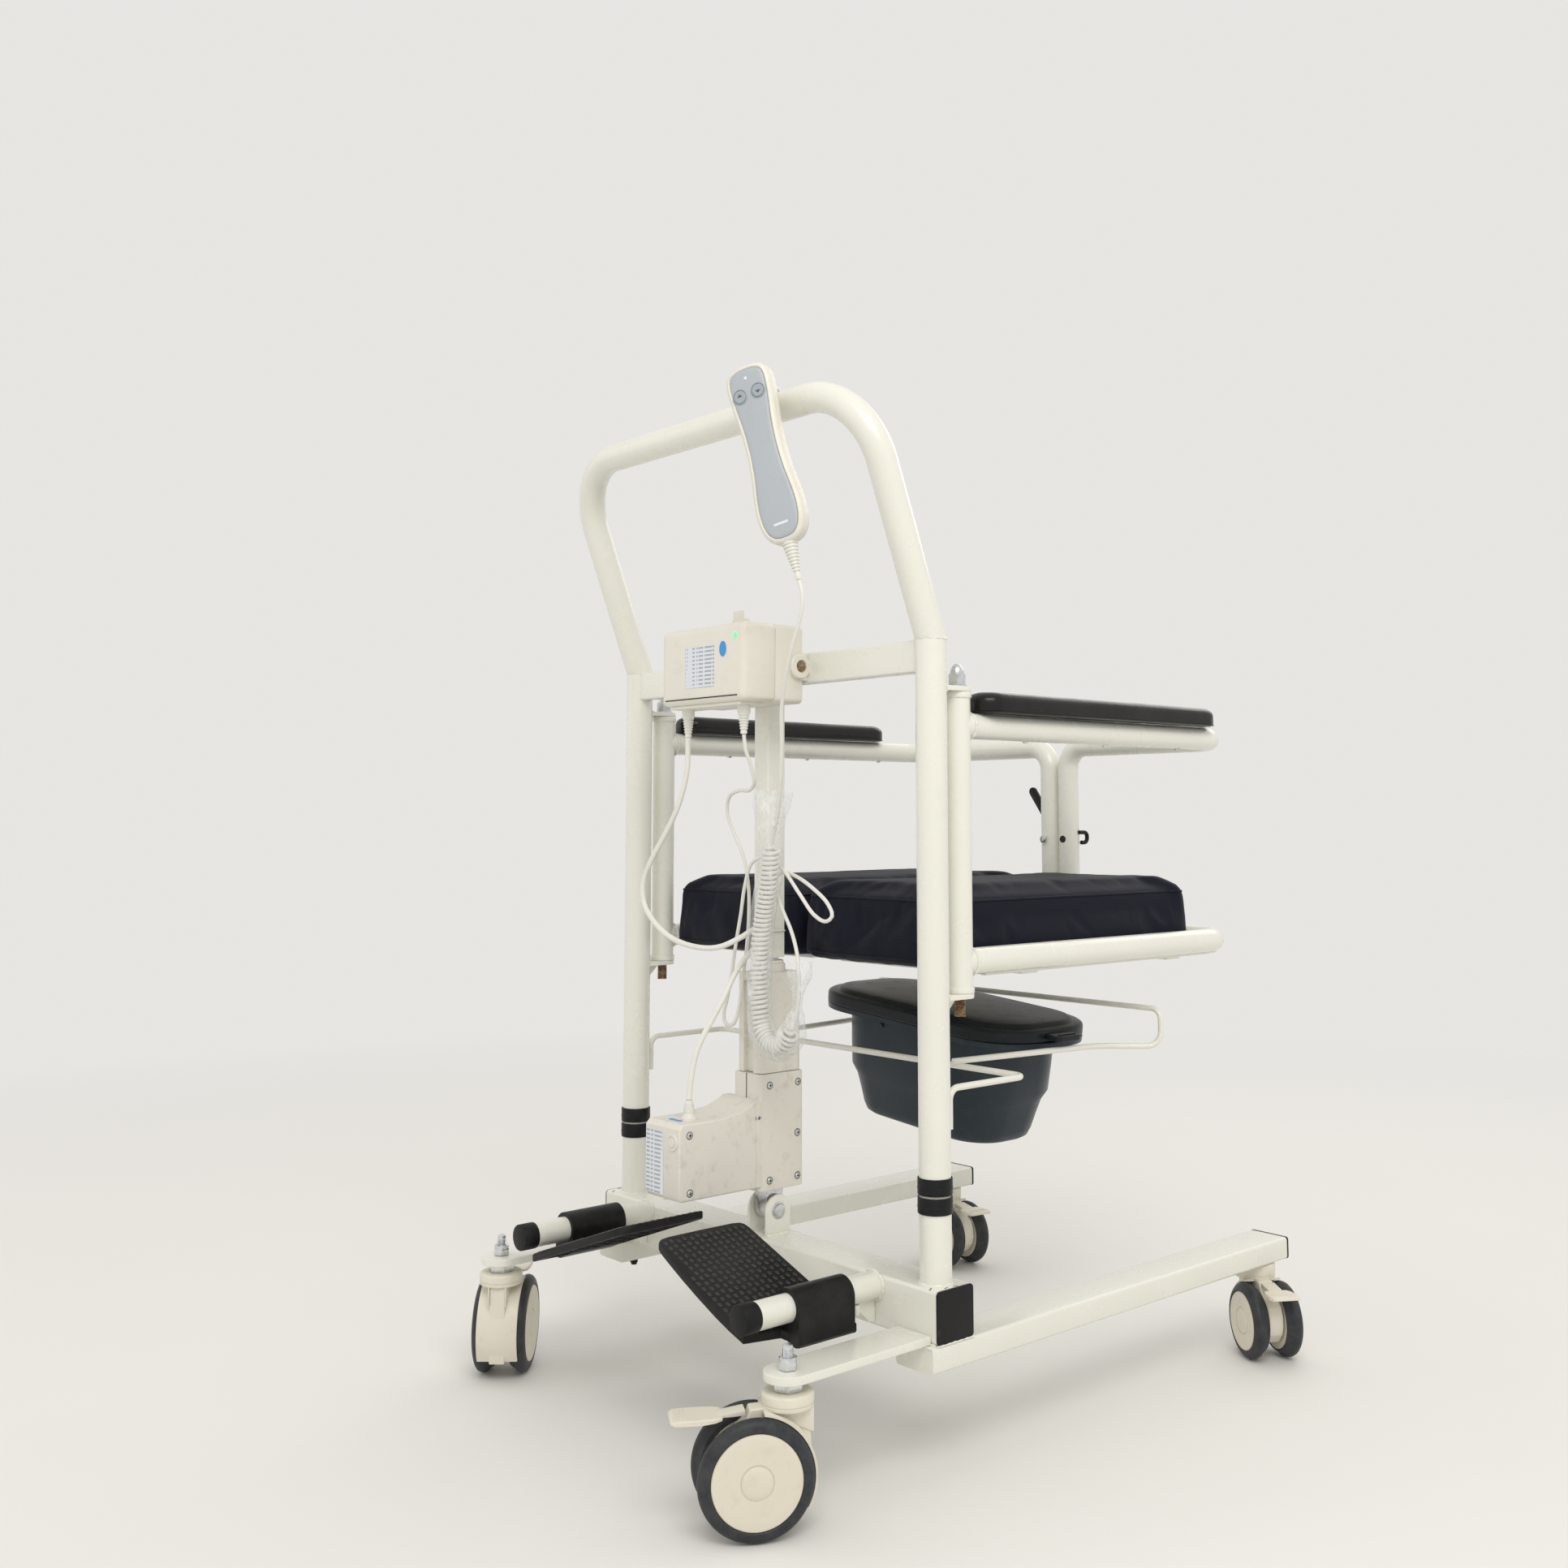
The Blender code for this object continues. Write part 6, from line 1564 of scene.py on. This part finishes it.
def wheel(size, sign):
    """Tyre, hub disc and centre boss of one wheel of a pair, axle along Y, and painted shade in the groove
    round the hub.
    """
    r, hub = size["wheel_r"], size["hub_r"]
    outer, inner = sign * 0.0368, sign * 0.0127

    def lathe(profile, count=72):
        rings = [[(rad * math.cos(a), y, rad * math.sin(a)) for a in turns(count)] for rad, y in profile]
        return loft(rings, closed=True)

    step = sign * 0.001
    tyre = lathe([(hub + 0.0004, outer - step * 1.6), (hub + 0.0016, outer - step * 0.8),
                  (r - 0.0075, outer - step * 1.6), (r - 0.004, outer - step * 3.0),
                  (r - 0.0014, outer - step * 5.4), (r - 0.0002, outer - step * 8.6),
                  (r, outer - step * 10.0), (r - 0.0002, outer - step * 12.0),
                  (r - 0.0016, outer - step * 15.6), (r - 0.0046, outer - step * 18.4), (r - 0.008, inner),
                  (hub + 0.0004, inner)])
    hub_disc = lathe([(0.0002, outer - step * 1.4), (0.0166, outer - step * 1.4),
                      (0.017, outer - step * 2.4), (0.0178, outer - step * 2.4),
                      (0.0184, outer - step * 1.3), (hub - 0.01, outer - step * 0.9),
                      (hub - 0.003, outer - step * 0.5), (hub - 0.001, outer - step * 1.0),
                      (hub, outer - step * 2.2), (hub, inner), (0.0085, inner), (0.0002, inner)])
    boss = lathe([(0.0002, outer - step * 0.1), (0.01, outer - step * 0.1), (0.014, outer - step * 0.5),
                  (0.016, outer - step * 1.4), (0.016, outer - step * 2.6), (0.0002, outer - step * 2.6)],
                  48)
    # Painted shade: a dark ring in the groove between hub and tyre.
    groove = lathe([(hub - 0.0002, outer - step * 2.4), (hub + 0.0012, outer - step * 2.4),
                    (hub + 0.0012, outer - step * 1.9), (hub - 0.0002, outer - step * 1.9)])
    return tyre, add(hub_disc, boss), groove


def hood(size, seat):
    """Head with a groove ring, a waisted web below it and a fender that wraps the rear of the tyres."""
    r, trail = size["wheel_r"], size["trail"]
    low = r * 2 + HEAD_GAP
    head = turned([(0.027, low + 0.0004), (0.028, low + 0.0014), (0.0284, low + 0.004),
                   (0.0274, low + 0.0046), (0.0274, low + 0.0056), (0.0284, low + 0.0062),
                   (0.0284, seat - 0.0034), (0.0276, seat - 0.0012), (0.0262, seat - 0.0002), (0.02, seat)],
                   56)
    web = [(-0.022, low + 0.005), (-0.024, r * 1.35), (-0.0253, r * 0.82), (-0.022, r * 0.42),
           (trail * 0.5, r * 0.42), (trail + r * 0.4, r * 0.5), (trail + r * 0.64, r * 0.76),
           (trail + r * 0.715, r), (trail + r * 0.7, r * 1.25), (trail + r * 0.61, r * 1.49),
           (trail + 0.008, 2 * r - 0.0087), (trail + 0.004, low + 0.0018)]
    fork = eased(web, "y", -0.0104, 0.0104, 0.002, 3, 24)
    near, far, count = r + 0.001, r + 0.0037, 18
    shell = []
    for edge, drop in ((0.027, 0.0005), (0.0262, 0.0), (-0.0262, 0.0), (-0.027, 0.0005)):
        outer_arc, inner_arc = [], []
        for k in range(count + 1):
            a = math.radians(98.0 + 112.0 * k / count)
            outer_arc.append((trail + (far - drop) * math.cos(a), edge, r + (far - drop) * math.sin(a)))
            inner_arc.append((trail + near * math.cos(a), edge, r + near * math.sin(a)))
        shell.append(outer_arc + inner_arc[::-1])
    fender = loft(shell)
    facets = []
    for edge in (-1, 1):
        cheek = [(-0.0262, low + 0.003), (-0.0262, r * 1.62), (-0.0105, r * 1.72), (0.012, r * 1.9),
                 (0.024, low + 0.003)]
        facets.append(eased(cheek, "y", edge * 0.0104, edge * 0.0122, 0.0008, 2))
    return add(head, fork, fender, *facets)


def stem_nut():
    """Hexagon under the outrigger plate; nut, collar and threaded stud above it."""
    plate = eased(hexagon(0.03, 0.4), "z", 0.1424, 0.1516, 0.0009, 2)
    nut = eased(hexagon(0.019, 0.2), "z", 0.1634, 0.1725, 0.001, 2)
    washer = turned([(0.0098, 0.172), (0.0098, 0.1758), (0.009, 0.1765), (0.006, 0.1765)], 40)
    stud = [(0.006, 0.176)] + thread(0.1768, 0.185, 0.006, 0.0054, 0.0012)
    stud += [(0.0058, 0.1862), (0.005, 0.1885), (0.0025, 0.1898)]
    return add(plate, nut, washer, turned(stud, 28))


def brake_pedal(reach):
    """Stem, tapering paddle and three grip ridges; the hinge is the origin."""
    stem = eased([(-0.0028, 0.0), (-0.0028, -0.0058), (0.03, -0.0068), (0.03, -0.0036), (0.022, -0.0034)],
                 "y", -0.0096, 0.0096, 0.0007, 2)
    rows = []
    for x, half, top, under in ((0.0215, 0.012, -0.004, -0.0064), (0.0225, 0.0165, -0.0037, -0.0066),
                                (0.03, 0.0198, -0.0035, -0.0076), (0.046, 0.0208, -0.0033, -0.0088),
                                (reach - 0.012, 0.0208, -0.0032, -0.0082),
                                (reach - 0.004, 0.02, -0.0035, -0.0078),
                                (reach - 0.0008, 0.018, -0.0046, -0.0074),
                                (reach, 0.0165, -0.0052, -0.0068)):
        rows.append([(x, y, z) for y, z in ((-half, under), (-half, top - 0.001), (-half + 0.0012, top),
                                            (half - 0.0012, top), (half, top - 0.001), (half, under))])
    ridges = [eased_box((reach - 0.017 + i * 0.0045, -0.015, -0.004),
                        (reach - 0.0154 + i * 0.0045, 0.015, -0.0026 - i * 0.0002), 0.0004, 2)
                        for i in range(3)]
    return add(stem, loft(rows), *ridges)


def caster(label):
    """One caster: hood, wheels, stem and brake pedal."""
    front = label.startswith("front")
    size = FRONT if front else REAR
    x, y, heading = CASTERS[label]
    swivel = Matrix.Translation((x, y, 0.0)) @ Matrix.Rotation(math.radians(heading), 4, "Z")
    r, trail, name = size["wheel_r"], size["trail"], "caster_" + label
    seat = size["seat"] - (0.01 if front else 0.0003)
    axle_at = swivel @ Matrix.Translation((trail, 0.0, r))

    piece(name + "_hood", hood(size, seat), "caster", label + "_swivel", name + "_fork", at=swivel)
    boss = laid(turned([(0.015, -0.0125), (0.015, 0.0125)], 36), "X", (trail, 0, r))
    shaft = laid(turned([(0.004, -0.0126), (0.004, 0.0126)], 24), "X", (trail, 0, r))
    piece(name + "_axle_bosses", add(boss, shaft), "caster", label + "_swivel", at=swivel)
    if front:
        piece(name + "_stem_nut", stem_nut(), "zinc", label + "_swivel", at=swivel)
    else:
        piece(name + "_ring", turned([(0.019, seat - 0.0012), (0.019, size["seat"] - 0.0001),
                                      (0.012, size["seat"] - 0.0001)], 44), "zinc",
                                      label + "_swivel", at=swivel)

    tyres, hubs, grooves = zip(*[wheel(size, sign) for sign in (-1, 1)])
    piece(name + "_tyres", add(*tyres), "tyre", label + "_axle", name + "_wheels", at=axle_at)
    piece(name + "_hubs", add(*hubs), "hub", label + "_axle", at=axle_at)
    # Painted shade in the grooves round the hubs.
    piece(name + "_hub_gaps", add(*grooves), "dark", label + "_axle", at=axle_at)

    hinge_x = trail + PEDAL_HINGE_X
    pedal_at = swivel @ Matrix.Translation((hinge_x, 0.0, r * 2 + PEDAL_HINGE_RISE))
    piece(name + "_brake_pedal", brake_pedal(size["reach"] - hinge_x), "caster", label + "_brake",
          name + "_pedal", at=pedal_at)


# ---------------------------------------------------------------- sleeve and tie on the cables
def sleeve():
    """Clear plastic sleeve round the curly cable: flared ruffled ends, a neck and the loop between."""
    line = [(0.093, -0.072, 0.782), (0.09, -0.07, 0.76), (0.088, -0.069, 0.74)] + COIL_LINE
    line += [(0.1275, -0.0635, 0.505), (0.13, -0.063, 0.52), (0.131, -0.0625, 0.535),
             (0.131, -0.061, 0.552), (0.129, -0.059, 0.572)]
    path = smooth_route(line, 0.005)
    total = path_length(path)
    widths = [(0.0, 0.0235), (0.02, 0.0235), (0.04, 0.0185), (0.062, 0.015), (0.09, 0.0168), (0.3, 0.0172),
              (0.345, 0.018), (0.375, 0.02), (0.4, 0.0195), (0.425, 0.012), (0.438, 0.0062),
              (0.452, 0.0062), (0.462, 0.009), (0.48, 0.016), (0.6, 0.0175)]
    scale = total / 0.497

    def width(place):
        for (a, first), (b, last) in zip(widths, widths[1:]):
            if place <= b * scale:
                share = (place - a * scale) / ((b - a) * scale)
                share = share * share * (3 - 2 * share)
                return first + (last - first) * share
        return widths[-1][1]

    count = 40
    loops = []
    side, run = Vector((1.0, 0.0, 0.0)), 0.0
    for i, point in enumerate(path):
        run += (point - path[max(i - 1, 0)]).length
        tangent = (path[min(i + 1, len(path) - 1)] - path[max(i - 1, 0)]).normalized()
        side = (side - tangent * side.dot(tangent)).normalized()
        up = tangent.cross(side)
        reach = width(run)
        frill = max(0.0, 1.0 - run / 0.035, 1.0 - (total - run) / 0.03)
        loop = []
        for k in range(count + 1):
            a = 3.93 + TAU * 1.03 * k / count
            fold = noise.noise(Vector((math.cos(a) * 1.3, math.sin(a) * 1.3, run * 14.0)))
            deep = noise.noise(Vector((math.cos(a) * 3.0, math.sin(a) * 3.0, run * 40.0 + 4.0)))
            wide = reach * (1.0 + fold * 0.12 + deep * 0.04 + frill * 0.14 * math.sin(a * 5.0 + run * 60.0))
            least = 0.0134 if 0.05 < run < 0.405 * scale else 0.0032
            wide += 0.0007 * k / count
            loop.append(point + side * max(least, wide) * math.cos(a) + up * max(least, wide * 0.94)
                        * math.sin(a))
        loops.append(loop)
    bm = bmesh.new()
    rings = [[bm.verts.new(p) for p in loop] for loop in loops]
    for first, second in zip(rings, rings[1:]):
        for k in range(count):
            bm.faces.new((first[k], first[k + 1], second[k + 1], second[k]))
    item = piece("cable_sleeve", bm, "film", "lift", angle=180)
    tie_path = [(0.0172 * math.copysign(abs(math.cos(a)) ** 0.5, math.cos(a)),
                 0.0172 * math.copysign(abs(math.sin(a)) ** 0.5, math.sin(a)) , 0.6 + 0.002 * math.cos(a))
                 for a in turns(40)]
    band = sweep([Vector(p) for p in tie_path] + [Vector(tie_path[0])], 0.0011, 8)
    head = eased_box((-0.0225, -0.0195, 0.5975), (-0.0165, -0.0145, 0.603), 0.0006, 2)
    piece("cable_tie", add(band, head), "cable", "lift")


# ---------------------------------------------------------------- assembly
camera()
studio()
cables([din_plug("motor_plug_fine", MOTOR_PLUG_X, PLUG_Y, "motor_plug"),
        din_plug("handset_plug_fine", HANDSET_PLUG_X, PLUG_Y, "handset_plug")])
sleeve()
beam()
clevis_pin()
crossbar()
handle()
rail()
motor()
actuator()
control_box()
handset()
for side, label in SIDES:
    end_cap(side, label)
    leg(side, label)
    foot_tube(side, label)
    post(side, label)
    upright(side, label)
    hinge_bolt(side, label)
    swing(side, label)
    armrest(side, label)
    footplate(side, label)
cushions()
latch()
bucket()
for label in CASTERS:
    caster(label)
